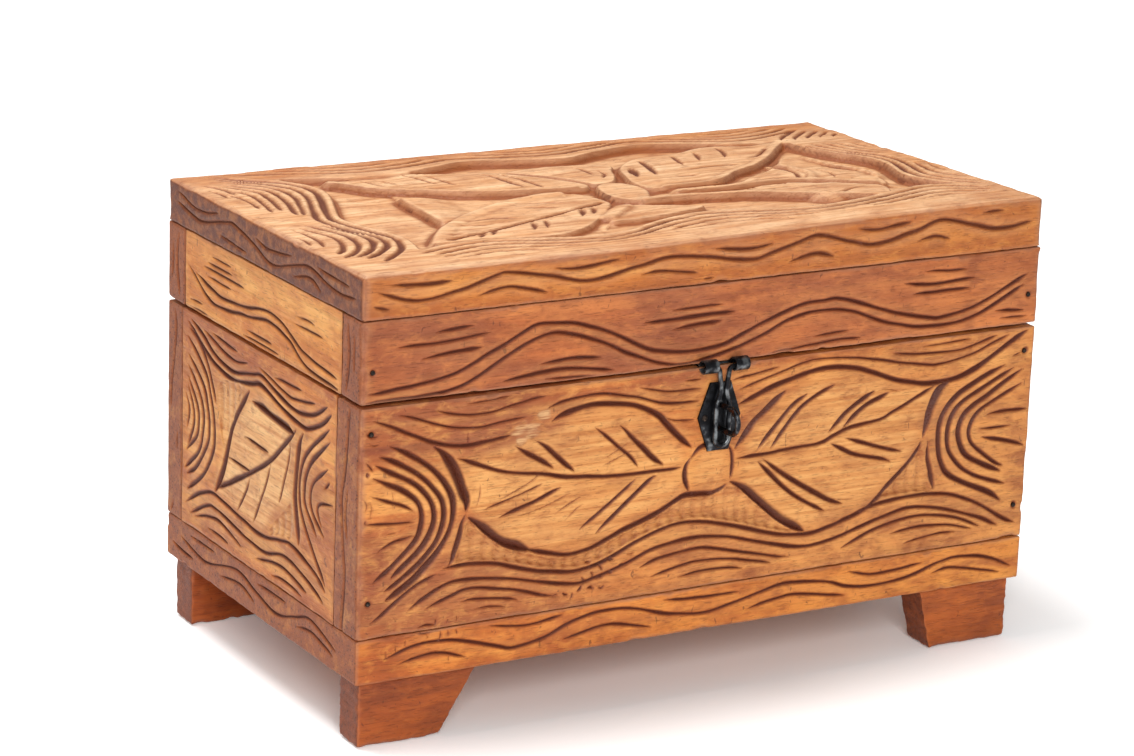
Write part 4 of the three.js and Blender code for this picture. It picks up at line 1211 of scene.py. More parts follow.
def top_relief(points):
    """Depth of the sunk panel, less the leaves and ridges that stand in it"""
    inside = depth_inside(points, closed_line(TOP_PANEL))
    panel = PANEL_DEPTH * smooth_step(inside / PANEL_SLOPE)
    lift = np.zeros(len(points))
    for under, slope, outline in TOP_LEAVES:
        into = depth_inside(points, closed_line(outline))
        dome = LEAF_DOME * smooth_step(into / LEAF_DOME_REACH)
        body = (PANEL_DEPTH - under - LEAF_DOME) * smooth_step(into / (LEAF_STEEP * slope)) ** 0.8
        lift = np.maximum(lift, body + dome * (into > 0))
    for height, left, right, *line in TOP_RIDGES:
        distance, along, side, _, total = nearest_on(points, smooth_line(line))
        share = np.clip(1 - distance / np.where(side > 0, left, right), 0, 1)
        ends = smooth_step(np.minimum(along, total - along) / RIDGE_FADE + 0.35)
        lift = np.maximum(lift, height * ends * (share * (2 - share)) ** 1.2)
    tool_marks = 0.12 * wander(points, 6, 31) + 0.28 * wander(points, 17, 32)
    carved = np.clip(panel / PANEL_DEPTH, 0, 1)
    return np.maximum(panel - lift * carved, 0) + tool_marks * carved + RIB_HEADROOM


# Where the paler part of the top, partly paler wood and partly painted light, ends towards the back and the
# right, and over what width
PALE_TOP_BACK = (205, 30)
PALE_TOP_RIGHT = (395, 40)


def top_pale_and_painted_light(points):
    """Paler wood and painted light on the up-facing top, least at the back and at the right end"""
    behind = smooth_step((points[:, 1] - PALE_TOP_BACK[0]) / PALE_TOP_BACK[1])
    right = smooth_step((points[:, 0] - PALE_TOP_RIGHT[0]) / PALE_TOP_RIGHT[1])
    patchy = 0.12 * wander(points, 34, 23) + 0.1 * wander(points, 12, 24)
    return np.clip(0.92 - 0.5 * behind - 0.25 * right + patchy, 0, 1)


TOP = {
    "flutes": TOP_VEINS + TOP_LEFT_RIBS + TOP_FRONT_RIBS + TOP_BACK_RIBS + TOP_RIGHT_RIBS,
    "relief": top_relief,
    "bleached": top_pale_and_painted_light,
}


# Materials

def linear(hex_colour):
    """An sRGB hex colour as linear RGBA"""
    channels = [int(hex_colour[i:i + 2], 16) / 255 for i in (1, 3, 5)]
    return [c / 12.92 if c <= 0.04045 else ((c + 0.055) / 1.055) ** 2.4 for c in channels] + [1.0]


def add(tree, kind, inputs=None, output=0, stops=None, **settings):
    """Adds a node with its settings, inputs (each a value, a colour or another output) and colour stops"""
    node = tree.nodes.new(kind)
    for name, value in settings.items():
        setattr(node, name, value)
    for name, value in (inputs or {}).items():
        if isinstance(value, bpy.types.NodeSocket):
            tree.links.new(value, node.inputs[name])
        else:
            node.inputs[name].default_value = linear(value) if isinstance(value, str) else value
    if stops:
        elements = node.color_ramp.elements
        while len(elements) < len(stops):
            elements.new(1.0)
        for element, (place, colour) in zip(elements, stops):
            element.position = place
            element.color = linear(colour) if isinstance(colour, str) else [colour] * 3 + [1.0]
    return node.outputs[output] if len(node.outputs) else None


def new_material(name):
    material = bpy.data.materials.new(name)
    material.use_nodes = True
    material.node_tree.nodes.clear()
    return material, material.node_tree


# The colour mixer's sockets
SHARE = 0
FIRST = 6
SECOND = 7
MIXED = 2

# Wood patterns: size in millimetres along, across and up the grain, then detail, roughness and distortion.
# Real pores are 0.1 to 0.3 mm wide, so fibre and pore are drawn as coarse as they need to show.
WOOD_PATTERNS = {
    "band": ((420, 17, 17), 3.0, 0.55, 0.6),
    "streak": ((95, 3.2, 3.2), 3.0, 0.6, 0.3),
    "fibre": ((30, 1.1, 1.1), 3.0, 0.6, 0.0),
    "pore": ((6.5, 0.7, 0.7), 1.0, 0.5, 0.0),
    "nick": ((3.0, 1.6, 6.0), 2.0, 0.5, 0.8),
    "smudge": ((11, 6, 6), 4.0, 0.65, 0.5),
    "patch": ((95, 60, 60), 2.0, 0.5, 0.0),
    "stain": ((34, 15, 15), 3.0, 0.55, 0.4),
}
END_PIT_SIZE = 2.1
FIBRE_BUMP = 0.3
GRAIN_ALONG_X = 0.0
GRAIN_ALONG_Y = math.pi / 2

# The wood is fresher towards the right, the front and the foot of the box, by so much for each metre
FRESHER = (1.2, -0.4, -2.0)
FRESH_START = 0.5


def wood_patterns(tree, along):
    """The wood's patterns by name, drawn out along the grain"""
    pattern = {}
    for kind, (size, detail, roughness, distortion) in WOOD_PATTERNS.items():
        cells = add(tree, "ShaderNodeMapping", {"Vector": along, "Scale": [1 / (s * MM) for s in size]})
        pattern[kind] = add(tree, "ShaderNodeTexNoise", {
            "Vector": cells, "Scale": 1.0, "Detail": detail,
            "Roughness": roughness, "Distortion": distortion,
        })
    return pattern


def end_grain(tree, place, turn, colours):
    """How far a spot faces along the grain, and the pitted colour of end grain"""
    normal = add(tree, "ShaderNodeTexCoord", output="Normal")
    turned = add(tree, "ShaderNodeMapping", {"Vector": normal, "Rotation": (0, 0, turn)})
    lengthwise = add(tree, "ShaderNodeSeparateXYZ", {"Vector": turned}, "X")
    share = add(tree, "ShaderNodeMath", {0: lengthwise}, operation="ABSOLUTE")
    pits = add(tree, "ShaderNodeTexVoronoi", {"Vector": place, "Scale": 1 / (END_PIT_SIZE * MM)})
    colour = add(tree, "ShaderNodeValToRGB", {"Fac": pits},
                 stops=[(0.16, colours["groove"]), (0.34, colours["end"])])
    return share, colour


def lay_colours(tree, colour, layers):
    """Lays colours over one another: what shows each one and how far, what breaks it up, and its colour"""
    for shown, stops, broken, breaks, layer in layers:
        share = add(tree, "ShaderNodeValToRGB", {"Fac": shown}, stops=stops)
        if broken:
            breakup = add(tree, "ShaderNodeValToRGB", {"Fac": broken}, stops=breaks)
            share = add(tree, "ShaderNodeMath", {0: share, 1: breakup}, operation="MULTIPLY")
        inputs = {SHARE: share, FIRST: colour, SECOND: layer}
        colour = add(tree, "ShaderNodeMix", inputs, MIXED, data_type="RGBA")
    return colour


def carved_wood(name, colours, turn=GRAIN_ALONG_X, offset=0.0):
    """Open-grained hardwood, carved with a gouge and oiled: brown in the cuts, pale where it is rubbed

    Painted shade darkens steep walls and recesses, where stain also gathers, and a painted highlight pales
    the crests.
    """
    material, tree = new_material(name)
    place = add(tree, "ShaderNodeTexCoord", output="Object")
    along = add(tree, "ShaderNodeMapping", {
        "Vector": place, "Rotation": (0, 0, turn), "Location": (offset, 0, 0),
    })
    pattern = wood_patterns(tree, along)
    mark = {kind: add(tree, "ShaderNodeAttribute", output="Fac", attribute_name=kind) for kind in MARKS}
    crest_highlight = add(tree, "ShaderNodeMath", {0: mark["hollow"], 1: -1.0}, operation="MULTIPLY")
    way = add(tree, "ShaderNodeVectorMath", {0: place, 1: FRESHER}, output="Value", operation="DOT_PRODUCT")
    fresh = add(tree, "ShaderNodeMath", {0: way, 1: FRESH_START}, operation="ADD")
    end, end_wood = end_grain(tree, place, turn, colours)
    plain = add(tree, "ShaderNodeValToRGB", {"Fac": pattern["band"]},
                stops=[(0.32, colours["dark"]), (0.5, colours["mid"]), (0.66, colours["light"])])
    pale = add(tree, "ShaderNodeValToRGB", {"Fac": pattern["streak"]},
               stops=[(0.35, colours["leaf"]), (0.6, colours["rubbed"])])
    groove = colours["groove"]
    shade = colours["shade"]
    patch = pattern["patch"]
    stain = pattern["stain"]
    smudge = pattern["smudge"]
    colour = lay_colours(tree, plain, [
        (patch, [(0.4, 0.0), (0.58, 0.7)], fresh, [(0.1, 1.0), (0.5, 0.35)], colours["blotch"]),
        (fresh, [(0.1, 0.0), (0.6, 0.75)], patch, [(0.35, 1.0), (0.65, 0.6)], colours["light"]),
        (stain, [(0.44, 0.0), (0.64, 0.65)], None, None, colours["dark"]),
        (smudge, [(0.5, 0.0), (0.75, 0.6)], None, None, colours["light"]),
        # The leaves' and grounds' paler wood; on the top, a paleness that is partly paler wood and partly
        # painted light
        (mark["leaf"], [(0.0, 0.0), (1.0, 0.9)], stain, [(0.4, 1.0), (0.66, 0.55)], pale),
        (pattern["pore"], [(0.62, 0.0), (0.7, 0.3)], None, None, groove),
        (smudge, [(0.3, 0.45), (0.46, 0.0)], None, None, shade),
        (pattern["nick"], [(0.69, 0.0), (0.74, 0.6)], None, None, groove),
        # Painted highlight on raised crests, in the colour of rubbed wood
        (crest_highlight, [(0.05, 0.0), (0.7, 0.3)], None, None, colours["rubbed"]),
        # Painted shade on steep walls, broken up by the stain pattern
        (mark["steep"], [(0.15, 0.0), (0.9, 0.85)], stain, [(0.3, 1.0), (0.75, 0.6)], shade),
        # Shade in recesses, partly stain and partly painted shade, weaker in the sunk grounds
        (mark["hollow"], [(0.0, 0.0), (0.65, 0.9)], mark["ground"], [(0.0, 1.0), (1.0, 0.3)], shade),
        (mark["cut"], [(0.25, 0.0), (1.1, 0.9)], stain, [(0.3, 1.0), (0.7, 0.85)], groove),
        (mark["chip"], [(0.0, 0.0), (1.0, 1.0)], pattern["fibre"], [(0.35, 0.15), (0.6, 0.8)],
         colours["splinter"]),
        (mark["rub"], [(0.2, 0.0), (1.0, 1.0)], stain, [(0.35, 0.85), (0.65, 0.2)], colours["edge"]),
        (end, [(0.75, 0.0), (0.92, 1.0)], smudge, [(0.4, 1.0), (0.62, 0.6)], end_wood),
    ])
    for kind, dark, light, strength in (("streak", 0.82, 1.06, 0.7), ("fibre", 0.82, 1.08, 0.4)):
        grain = add(tree, "ShaderNodeValToRGB", {"Fac": pattern[kind]},
                    stops=[(0.3, dark), (0.5, 1.0), (0.7, light)])
        inputs = {SHARE: strength, FIRST: colour, SECOND: grain}
        colour = add(tree, "ShaderNodeMix", inputs, MIXED, data_type="RGBA", blend_type="MULTIPLY")
    rough = add(tree, "ShaderNodeValToRGB", {"Fac": pattern["fibre"]}, stops=[(0.3, 0.66), (0.7, 0.5)])
    pores = add(tree, "ShaderNodeValToRGB", {"Fac": pattern["pore"]}, stops=[(0.58, 0.0), (0.7, 0.8)])
    raised = add(tree, "ShaderNodeMath", {0: pattern["fibre"], 1: pores}, operation="SUBTRACT")
    bump = add(tree, "ShaderNodeBump", {"Height": raised, "Distance": FIBRE_BUMP * MM, "Strength": 0.8})
    shader = add(tree, "ShaderNodeBsdfPrincipled", {
        "Base Color": colour, "Roughness": rough, "IOR": 1.45, "Normal": bump,
    })
    add(tree, "ShaderNodeOutputMaterial", {"Surface": shader})
    return material


# Iron's patterns in millimetres: flakes of scale, damp patches that rust, and the grain of the scale
SCALE_FLAKE = 5.5
DAMP_PATCH = 6.0
SCALE_GRAIN = 0.5
SCALE_BUMP = 0.12
NAIL_SPOT = 1.2


def blackened_iron(name, bare, rust):
    """Mild steel blackened in the fire: near black, and grey and rusty in spots

    The lower bare is, the more of it is rubbed grey. The lower rust is, the more of it is rusty.
    """
    material, tree = new_material(name)
    place = add(tree, "ShaderNodeTexCoord", output="Object")
    scale, damp, grain = [
        add(tree, "ShaderNodeTexNoise", {"Vector": place, "Scale": 1 / (size * MM), "Detail": detail})
        for size, detail in ((SCALE_FLAKE, 4.0), (DAMP_PATCH, 4.0), (SCALE_GRAIN, 3.0))
    ]
    colour = add(tree, "ShaderNodeValToRGB", {"Fac": scale},
                 stops=[(bare - 0.2, "#0e0e11"), (bare, "#222327"), (bare + 0.16, "#6d7072")])
    rusty = add(tree, "ShaderNodeValToRGB", {"Fac": damp}, stops=[(rust, 0.0), (rust + 0.1, 0.8)])
    inputs = {SHARE: rusty, FIRST: colour, SECOND: "#5a3420"}
    colour = add(tree, "ShaderNodeMix", inputs, MIXED, data_type="RGBA")
    rough = add(tree, "ShaderNodeValToRGB", {"Fac": scale}, stops=[(0.35, 0.5), (0.65, 0.3)])
    bump = add(tree, "ShaderNodeBump", {"Height": grain, "Distance": SCALE_BUMP * MM, "Strength": 0.6})
    shader = add(tree, "ShaderNodeBsdfPrincipled", {
        "Base Color": colour, "Metallic": 0.85, "Roughness": rough, "Normal": bump,
    })
    add(tree, "ShaderNodeOutputMaterial", {"Surface": shader})
    return material


def old_nail_steel(name):
    """Plain steel nails, dulled and brown from the wood's acid"""
    material, tree = new_material(name)
    place = add(tree, "ShaderNodeTexCoord", output="Object")
    spots = add(tree, "ShaderNodeTexNoise", {"Vector": place, "Scale": 1 / (NAIL_SPOT * MM), "Detail": 3.0})
    colour = add(tree, "ShaderNodeValToRGB", {"Fac": spots},
                 stops=[(0.35, "#1c1511"), (0.6, "#352820"), (0.8, "#6e6055")])
    rough = add(tree, "ShaderNodeValToRGB", {"Fac": spots}, stops=[(0.3, 0.7), (0.7, 0.5)])
    shader = add(tree, "ShaderNodeBsdfPrincipled", {
        "Base Color": colour, "Metallic": 0.7, "Roughness": rough,
    })
    add(tree, "ShaderNodeOutputMaterial", {"Surface": shader})
    return material


# The white floor is lifted for the camera by a painted glow, also seen in glossy reflections: little under
# the box, where its shadow lies, and more round it.
# The distance from the middle is counted in spans of 0.27 m along the box and 0.2 m across it.
GLOW_NEAR = 0.03
GLOW_FAR = 0.6
GLOW_START = 0.5
GLOW_END = 1.7
GLOW_SPREAD = (1 / 0.27, 1 / 0.2, 1)


def studio_white(name):
    """Matt white paint with a painted glow for the camera and glossy reflections, so that the floor reads as
    white and keeps its shadow
    """
    material, tree = new_material(name)
    paint = add(tree, "ShaderNodeBsdfPrincipled", {"Base Color": "#f7f6f5", "Roughness": 0.85})
    place = add(tree, "ShaderNodeTexCoord", output="Object")
    spread = add(tree, "ShaderNodeMapping", {"Vector": place, "Scale": GLOW_SPREAD})
    away = add(tree, "ShaderNodeVectorMath", {0: spread}, output="Value", operation="LENGTH")
    strength = add(tree, "ShaderNodeMapRange", {
        "Value": away, "From Min": GLOW_START, "From Max": GLOW_END, "To Min": GLOW_NEAR, "To Max": GLOW_FAR,
    }, interpolation_type="SMOOTHSTEP")
    glow = add(tree, "ShaderNodeEmission", {"Color": "#ffffff", "Strength": strength})
    nothing = add(tree, "ShaderNodeEmission", {"Strength": 0.0})
    camera_ray = add(tree, "ShaderNodeLightPath", output="Is Camera Ray")
    glossy_ray = add(tree, "ShaderNodeLightPath", output="Is Glossy Ray")
    seen = add(tree, "ShaderNodeMath", {0: camera_ray, 1: glossy_ray}, operation="ADD", use_clamp=True)
    lift = add(tree, "ShaderNodeMixShader", {0: seen, 1: nothing, 2: glow})
    both = add(tree, "ShaderNodeAddShader", {0: paint, 1: lift})
    add(tree, "ShaderNodeOutputMaterial", {"Surface": both})
    return material


COMMON_COLOURS = {
    "groove": "#451403", "shade": "#843c12", "leaf": "#cc8240", "rubbed": "#e0a25e", "splinter": "#dbac78",
    "edge": "#a06c50", "end": "#84441f",
}
FRONT_WOOD = carved_wood("oiled_hardwood_front", {
    **COMMON_COLOURS, "dark": "#863f1c", "mid": "#bf692a", "light": "#e09a50", "blotch": "#88452a",
})
SIDE_WOOD = carved_wood("oiled_hardwood_sides", {
    **COMMON_COLOURS, "dark": "#994c1e", "mid": "#c67632", "light": "#e09c50", "blotch": "#9c5228",
    "leaf": "#d8965a", "rubbed": "#eabb80",
}, GRAIN_ALONG_Y, 3.0)
LID_FRONT_WOOD = carved_wood("oiled_hardwood_lid_front", {
    **COMMON_COLOURS, "dark": "#84411f", "mid": "#b3602d", "light": "#cc7a3e", "blotch": "#8f4e30",
}, offset=5.0)
LID_SIDE_WOOD = carved_wood("oiled_hardwood_lid_sides", {
    **COMMON_COLOURS, "dark": "#b9682a", "mid": "#d0843a", "light": "#e6a95e", "blotch": "#c67a38",
    "shade": "#9c5826",
}, GRAIN_ALONG_Y, 9.0)
BOTTOM_WOOD = carved_wood("oiled_hardwood_bottom", {
    **COMMON_COLOURS, "dark": "#964212", "mid": "#c4661f", "light": "#e0923e", "blotch": "#9a4316",
}, offset=11.0)
TOP_WOOD = carved_wood("oiled_hardwood_top", {
    **COMMON_COLOURS, "dark": "#a2551f", "mid": "#c0702c", "light": "#d2883e", "blotch": "#a65a28",
    "groove": "#5a2408", "shade": "#864418", "leaf": "#d19868", "rubbed": "#e8be92", "end": "#5e2c18",
}, offset=17.0)
FOOT_WOOD = carved_wood("rough_sawn_red_wood", {
    **COMMON_COLOURS, "dark": "#7a330c", "mid": "#a54c14", "light": "#b25a1c", "blotch": "#86390e",
    "rubbed": "#c47838", "edge": "#a85c30", "end": "#70320f",
}, offset=23.0)
IRON = blackened_iron("blackened_iron", 0.62, 0.7)
WORN_IRON = blackened_iron("worn_iron", 0.47, 0.74)
RUSTED_IRON = blackened_iron("rusted_iron", 0.55, 0.5)
NAIL_STEEL = old_nail_steel("old_nail_steel")


# Boards. A cell is the size of the squares that a kind of face is made of.

CUT_CELL = 0.85
TOP_CELL = 1.3
RIM_CELL = 1.0
END_CELL = 1.1
BACK_CELL = 1.1
BACK_RIM_CELL = 1.5
PLAIN_CELL = 4.0
FOOT_CELL = 1.6
PLAIN_TOP = {"top": PLAIN_CELL}
PLAIN_BOTTOM = {"bottom": PLAIN_CELL}
CARVED_ENDS = {"left": END_CELL, "right": END_CELL, **PLAIN_TOP}

# Edges that wear has rounded more than the rest
WORN_CORNER = {frozenset(("front", "left")): 2.6}
WORN_TOP = {frozenset(("top", side)): 2.4 for side in ("left", "right", "front", "back")}
WORN_TOP.update({frozenset((end, side)): 2.6 for end in ("left", "right") for side in ("front", "back")})
WORN_SOLE = {frozenset(("bottom", side)): 2.6 for side in ("left", "right", "front", "back")}

# The radius and depth of the dimple round a nail's head
DIMPLE = (3.0, 0.8)

# The top board before it warped, and where along it the rise starts and ends
TOP_THICKNESS = 25.5
TOP_RISE_START = 130.0
TOP_RISE_END = 410.0

# A foot's length at its sole, and the depth of its saw marks
FOOT_SOLE = {"left": 51.0, "right": 56.0}
FOOT_SAWN = 0.8


def raise_top(points):
    """The warped top board: it rises along the front by a smooth step that fades out towards the back"""
    low, high = frame_box("lid_top_board")
    rise = high[2] - low[2] - TOP_THICKNESS
    along = (points[:, 0] - LEFT_END - TOP_RISE_START) / (TOP_RISE_END - TOP_RISE_START)
    forward = (BACK_FACE - points[:, 1]) / DEPTH
    up = np.clip((points[:, 2] - low[2]) / TOP_THICKNESS, 0, 1)
    points[:, 2] += rise * smooth_step(along) * forward * up
    return points


def slant_foot(node):
    """What narrows a foot from its top to its sole, at its inner end"""
    low, high = frame_box(node)
    side = "left" if node.endswith("left") else "right"
    outer = low[0] if side == "left" else high[0]
    sole_share = FOOT_SOLE[side] / (high[0] - low[0])

    def slant(points):
        up = np.clip((points[:, 2] - low[2]) / (high[2] - low[2]), 0, 1)
        points[:, 0] = outer + (points[:, 0] - outer) * (sole_share + (1 - sole_share) * up)
        return points

    return slant


def nail_dimples(prefix):
    """A shallow pit round each of the named nails, on a face that stands along the box"""
    spots = []
    for node in frame["nodes"]:
        if node.startswith(prefix):
            low, high = frame_box(node)
            middle = (low + high) / 2
            spots.append((middle[0] - LEFT_END, middle[2], *DIMPLE))
    return spots


def add_case_boards():
    front = {**FRONT, "pits": KNOTS + nail_dimples("case_nail_front")}
    back = {**mirrored(FRONT, LENGTH / 2), "pits": nail_dimples("case_nail_back")}
    front_end = {"grooves": LEFT_FRONT_END}
    back_end = {"grooves": LEFT_BACK_END}
    add_board("front_board", {"front": front, "left": front_end, "right": front_end},
              {"front": CUT_CELL, **CARVED_ENDS}, FRONT_WOOD, WORN_CORNER, seed=1)
    add_board("back_board", {"back": back, "left": back_end, "right": back_end},
              {"back": BACK_CELL, **CARVED_ENDS}, FRONT_WOOD, seed=6)
    add_board("left_board", {"left": LEFT},
              {"left": CUT_CELL, **PLAIN_TOP}, SIDE_WOOD, seed=2)
    add_board("right_board", {"right": mirrored(LEFT, SIDE_MIDDLE)},
              {"right": BACK_CELL, **PLAIN_TOP}, SIDE_WOOD, seed=7)
    drawings = {
        "front": BOTTOM_FRONT, "back": mirrored(BOTTOM_FRONT, LENGTH / 2),
        "left": BOTTOM_LEFT, "right": mirrored(BOTTOM_LEFT, DEPTH / 2),
    }
    cells = {"front": CUT_CELL, "left": CUT_CELL, "back": BACK_CELL, "right": BACK_CELL, **PLAIN_TOP}
    add_board("bottom_board", drawings, cells, BOTTOM_WOOD, seed=3)


def add_lid_boards():
    front = {**LID_FRONT, "pits": nail_dimples("lid_nail_front")}
    back = {**mirrored(LID_FRONT, LENGTH / 2), "pits": nail_dimples("lid_nail_back")}
    add_board("lid_front_board", {"front": front, "left": LID_FRONT_END, "right": LID_FRONT_END},
              {"front": CUT_CELL, **CARVED_ENDS}, LID_FRONT_WOOD, WORN_CORNER, seed=4)
    add_board("lid_back_board", {"back": back, "left": LID_BACK_END, "right": LID_BACK_END},
              {"back": BACK_CELL, **CARVED_ENDS}, LID_FRONT_WOOD, seed=8)
    add_board("lid_left_board", {"left": LID_LEFT},
              {"left": CUT_CELL, **PLAIN_BOTTOM}, LID_SIDE_WOOD, seed=5)
    add_board("lid_right_board", {"right": mirrored(LID_LEFT, DEPTH / 2)},
              {"right": BACK_CELL, **PLAIN_BOTTOM}, LID_SIDE_WOOD, seed=9)
    drawings = {
        "top": TOP, "front": TOP_FRONT, "back": mirrored(TOP_FRONT, LENGTH / 2),
        "left": TOP_LEFT, "right": mirrored(TOP_LEFT, DEPTH / 2),
    }
    cells = {
        "top": TOP_CELL, "front": RIM_CELL, "left": RIM_CELL, "back": BACK_RIM_CELL, "right": BACK_RIM_CELL,
    }
    add_board("lid_top_board", drawings, cells, TOP_WOOD, WORN_TOP, seed=10,
              thickness=TOP_THICKNESS, warp=raise_top)


def add_feet():
    cells = {face: FOOT_CELL for face in FACES}
    feet = ("foot_front_left", "foot_front_right", "foot_back_left", "foot_back_right")
    for seed, node in enumerate(feet, start=20):
        add_board(node, {}, cells, FOOT_WOOD, WORN_SOLE, seed=seed,
                  warp=slant_foot(node), sawn=FOOT_SAWN)


# Floor, backdrop and light, in metres and watts

FLOOR_HALF = 6.0
WORLD_STRENGTH = 0.38

# A round soft lamp: its name, its place, what it points at, its width and its power
LAMPS = [
    ("overhead", (-0.5, 0.25, 2.1), (0, 0, 0.2), 0.9, 38),
    ("front", (-1.05, -2.3, 1.3), (0, 0, 0.15), 1.2, 46),
]


def add_floor():
    mesh = bpy.data.meshes.new("floor")
    corners = [(FLOOR_HALF * x, FLOOR_HALF * y, 0) for x, y in ((-1, -1), (1, -1), (1, 1), (-1, 1))]
    mesh.from_pydata(corners, [], [(0, 1, 2, 3)])
    mesh.materials.append(studio_white("matt_white_paint"))
    floor = bpy.data.objects.new("floor", mesh)
    bpy.context.scene.collection.objects.link(floor)


def add_lamp(name, place, aim, size, power):
    data = bpy.data.lights.new(name, "AREA")
    data.shape = "DISK"
    data.size = size
    data.energy = power
    lamp = bpy.data.objects.new(name, data)
    lamp.location = place
    direction = (np.array(aim) - np.array(place)).tolist()
    lamp.rotation_euler = Vector(direction).to_track_quat("-Z", "Y").to_euler()
    bpy.context.scene.collection.objects.link(lamp)


def add_light():
    world = bpy.data.worlds.new("studio")
    world.use_nodes = True
    tree = world.node_tree
    tree.nodes.clear()
    soft = add(tree, "ShaderNodeBackground", {"Color": "#ffffff", "Strength": WORLD_STRENGTH})
    white = add(tree, "ShaderNodeBackground", {"Color": "#ffffff", "Strength": 1.0})
    camera_ray = add(tree, "ShaderNodeLightPath", output="Is Camera Ray")
    clear_ray = add(tree, "ShaderNodeLightPath", output="Is Transmission Ray")
    seen = add(tree, "ShaderNodeMath", {0: camera_ray, 1: clear_ray}, operation="ADD", use_clamp=True)
    both = add(tree, "ShaderNodeMixShader", {0: seen, 1: soft, 2: white})
    add(tree, "ShaderNodeOutputWorld", {"Surface": both})
    bpy.context.scene.world = world
    for lamp in LAMPS:
        add_lamp(*lamp)


# Ironwork: bars swept along plane lines. A line's points are (u, v) in its own plane, and a bar's section is
# given across the line, in the plane and out of it. A view turns u, v and w, which is out of the plane, into
# x, y and z.

WIRE_SIDES = 14
HAMMERED = 0.07
HAMMERED_LENGTH = 5
SHEET_ROUNDING = 0.22

# What the pieces stay inside the CAD's surfaces by
TRIM = 0.03


def side_view(x, z=0.0):
    """For lines drawn as seen from the left end: u is y, v is the height over z, and w runs along the box"""
    return lambda u, v, w: np.column_stack([x + w, u, z + v])


def hanging_view(x, y, z):
    """For lines drawn as seen from the front, downwards from z"""
    return lambda u, v, w: np.column_stack([x + u, y + w, z - v])


def rod_view(y, z):
    """For lines along the box: u is x, and v and w are across"""
    return lambda u, v, w: np.column_stack([u, y + v, z + w])


def arc(u, v, radius, start, end, steps=24):
    """Points of an arc, from one angle to another in degrees"""
    angles = np.radians(np.linspace(start, end, steps + 1))
    return [(u + radius * math.cos(a), v + radius * math.sin(a)) for a in angles]


def skin(rings):
    """Points and triangles of a closed skin over rings of points"""
    count, sides = rings.shape[:2]
    points = np.vstack([rings.reshape(-1, 3), rings[0].mean(0), rings[-1].mean(0)])
    triangles = []
    for i in range(count - 1):
        for j in range(sides):
            a = i * sides + j
            b = i * sides + (j + 1) % sides
            triangles += [(a, b, b + sides), (a, b + sides, a + sides)]
    last = (count - 1) * sides
    for j in range(sides):
        k = (j + 1) % sides
        triangles += [(k, j, count * sides), (last + j, last + k, count * sides + 1)]
    return points, np.array(triangles)


def join_skins(skins):
    points = []
    triangles = []
    count = 0
    for part, faces in skins:
        points.append(part)
        triangles.append(faces + count)
        count += len(part)
    return np.vstack(points), np.vstack(triangles)


def sweep(line, section, view, size=None):
    """A bar with a given section along a line; size is the section's share at each point of the line"""
    line = np.asarray(line, float)
    ahead = np.gradient(line, axis=0)
    ahead /= np.linalg.norm(ahead, axis=1)[:, None]
    across = np.column_stack([-ahead[:, 1], ahead[:, 0]])
    size = np.ones(len(line)) if size is None else size
    section = np.asarray(section, float)
    flat = line[:, None] + across[:, None] * (section[None, :, :1] * size[:, None, None])
    out = np.broadcast_to(section[None, :, 1] * size[:, None], flat.shape[:2])
    points = view(flat[..., 0].ravel(), flat[..., 1].ravel(), out.ravel())
    return skin(points.reshape(len(line), len(section), 3))


def wire(points, diameter, view, seed):
    """A round wire with rounded ends, a little flattened by the hammer"""
    line = smooth_line(points, 0.7)
    radius = diameter / 2 - TRIM
    travel = travelled(line)
    ends = np.clip(np.minimum(travel, travel[-1] - travel) / radius, 0, 1)
    size = np.sqrt(np.clip(1 - 0.96 * (1 - ends) ** 2, 0, 1))
    size = size * (1 - HAMMERED * (1 + wander(line, HAMMERED_LENGTH, seed)) / 2)
    angles = np.linspace(0, 2 * math.pi, WIRE_SIDES, endpoint=False)
    section = np.column_stack([np.cos(angles), np.sin(angles)]) * radius
    return sweep(line, section, view, size)


def sheet(line, thickness, width, middle, view):
    """A strip of sheet iron along a line, its long edges a little rounded"""
    t = thickness / 2 - TRIM
    w = width / 2 - TRIM
    r = thickness * SHEET_ROUNDING
    section = [(t, middle - w + r), (t, middle + w - r), (t - r, middle + w), (r - t, middle + w),
               (-t, middle + w - r), (-t, middle - w + r), (r - t, middle - w), (t - r, middle - w)]
    return sweep(line, section, view)


def add_iron(node, skins, material=IRON):
    """Joins skins into the iron piece that stands for a CAD node"""
    points, triangles = join_skins(skins)
    piece = mesh_object("forged_" + node, points, triangles, material, 35)
    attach(piece, frame["nodes"][node]["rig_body"])
    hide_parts(node)


# Hasp, loop and staple: sizes in millimetres, as in the CAD
HASP_X = 3.0
HASP_SHEET = 1.0
KNUCKLE_RADIUS = 4.1
KNUCKLE_LENGTH = 9.2
KNUCKLE_GAP = 11.4
LOOP_WIRE = 3.0
LOOP_NECK = 3.2
LOOP_PINCH = 1.85
LOOP_PINCH_DROP = 13.0
LOOP_EYE = 4.3
LOOP_SHOULDER_DROP = 22.5
LOOP_DROP = 42.0
STAPLE_WIRE = 3.4
STAPLE_BOW = 7.0
STAPLE_BEND = 2.4
STAPLE_CLINCH = 10.0
PLATE_HALF = (14.5, 20.5)
PLATE_END = 7.0
PLATE_RAGGED = 0.25


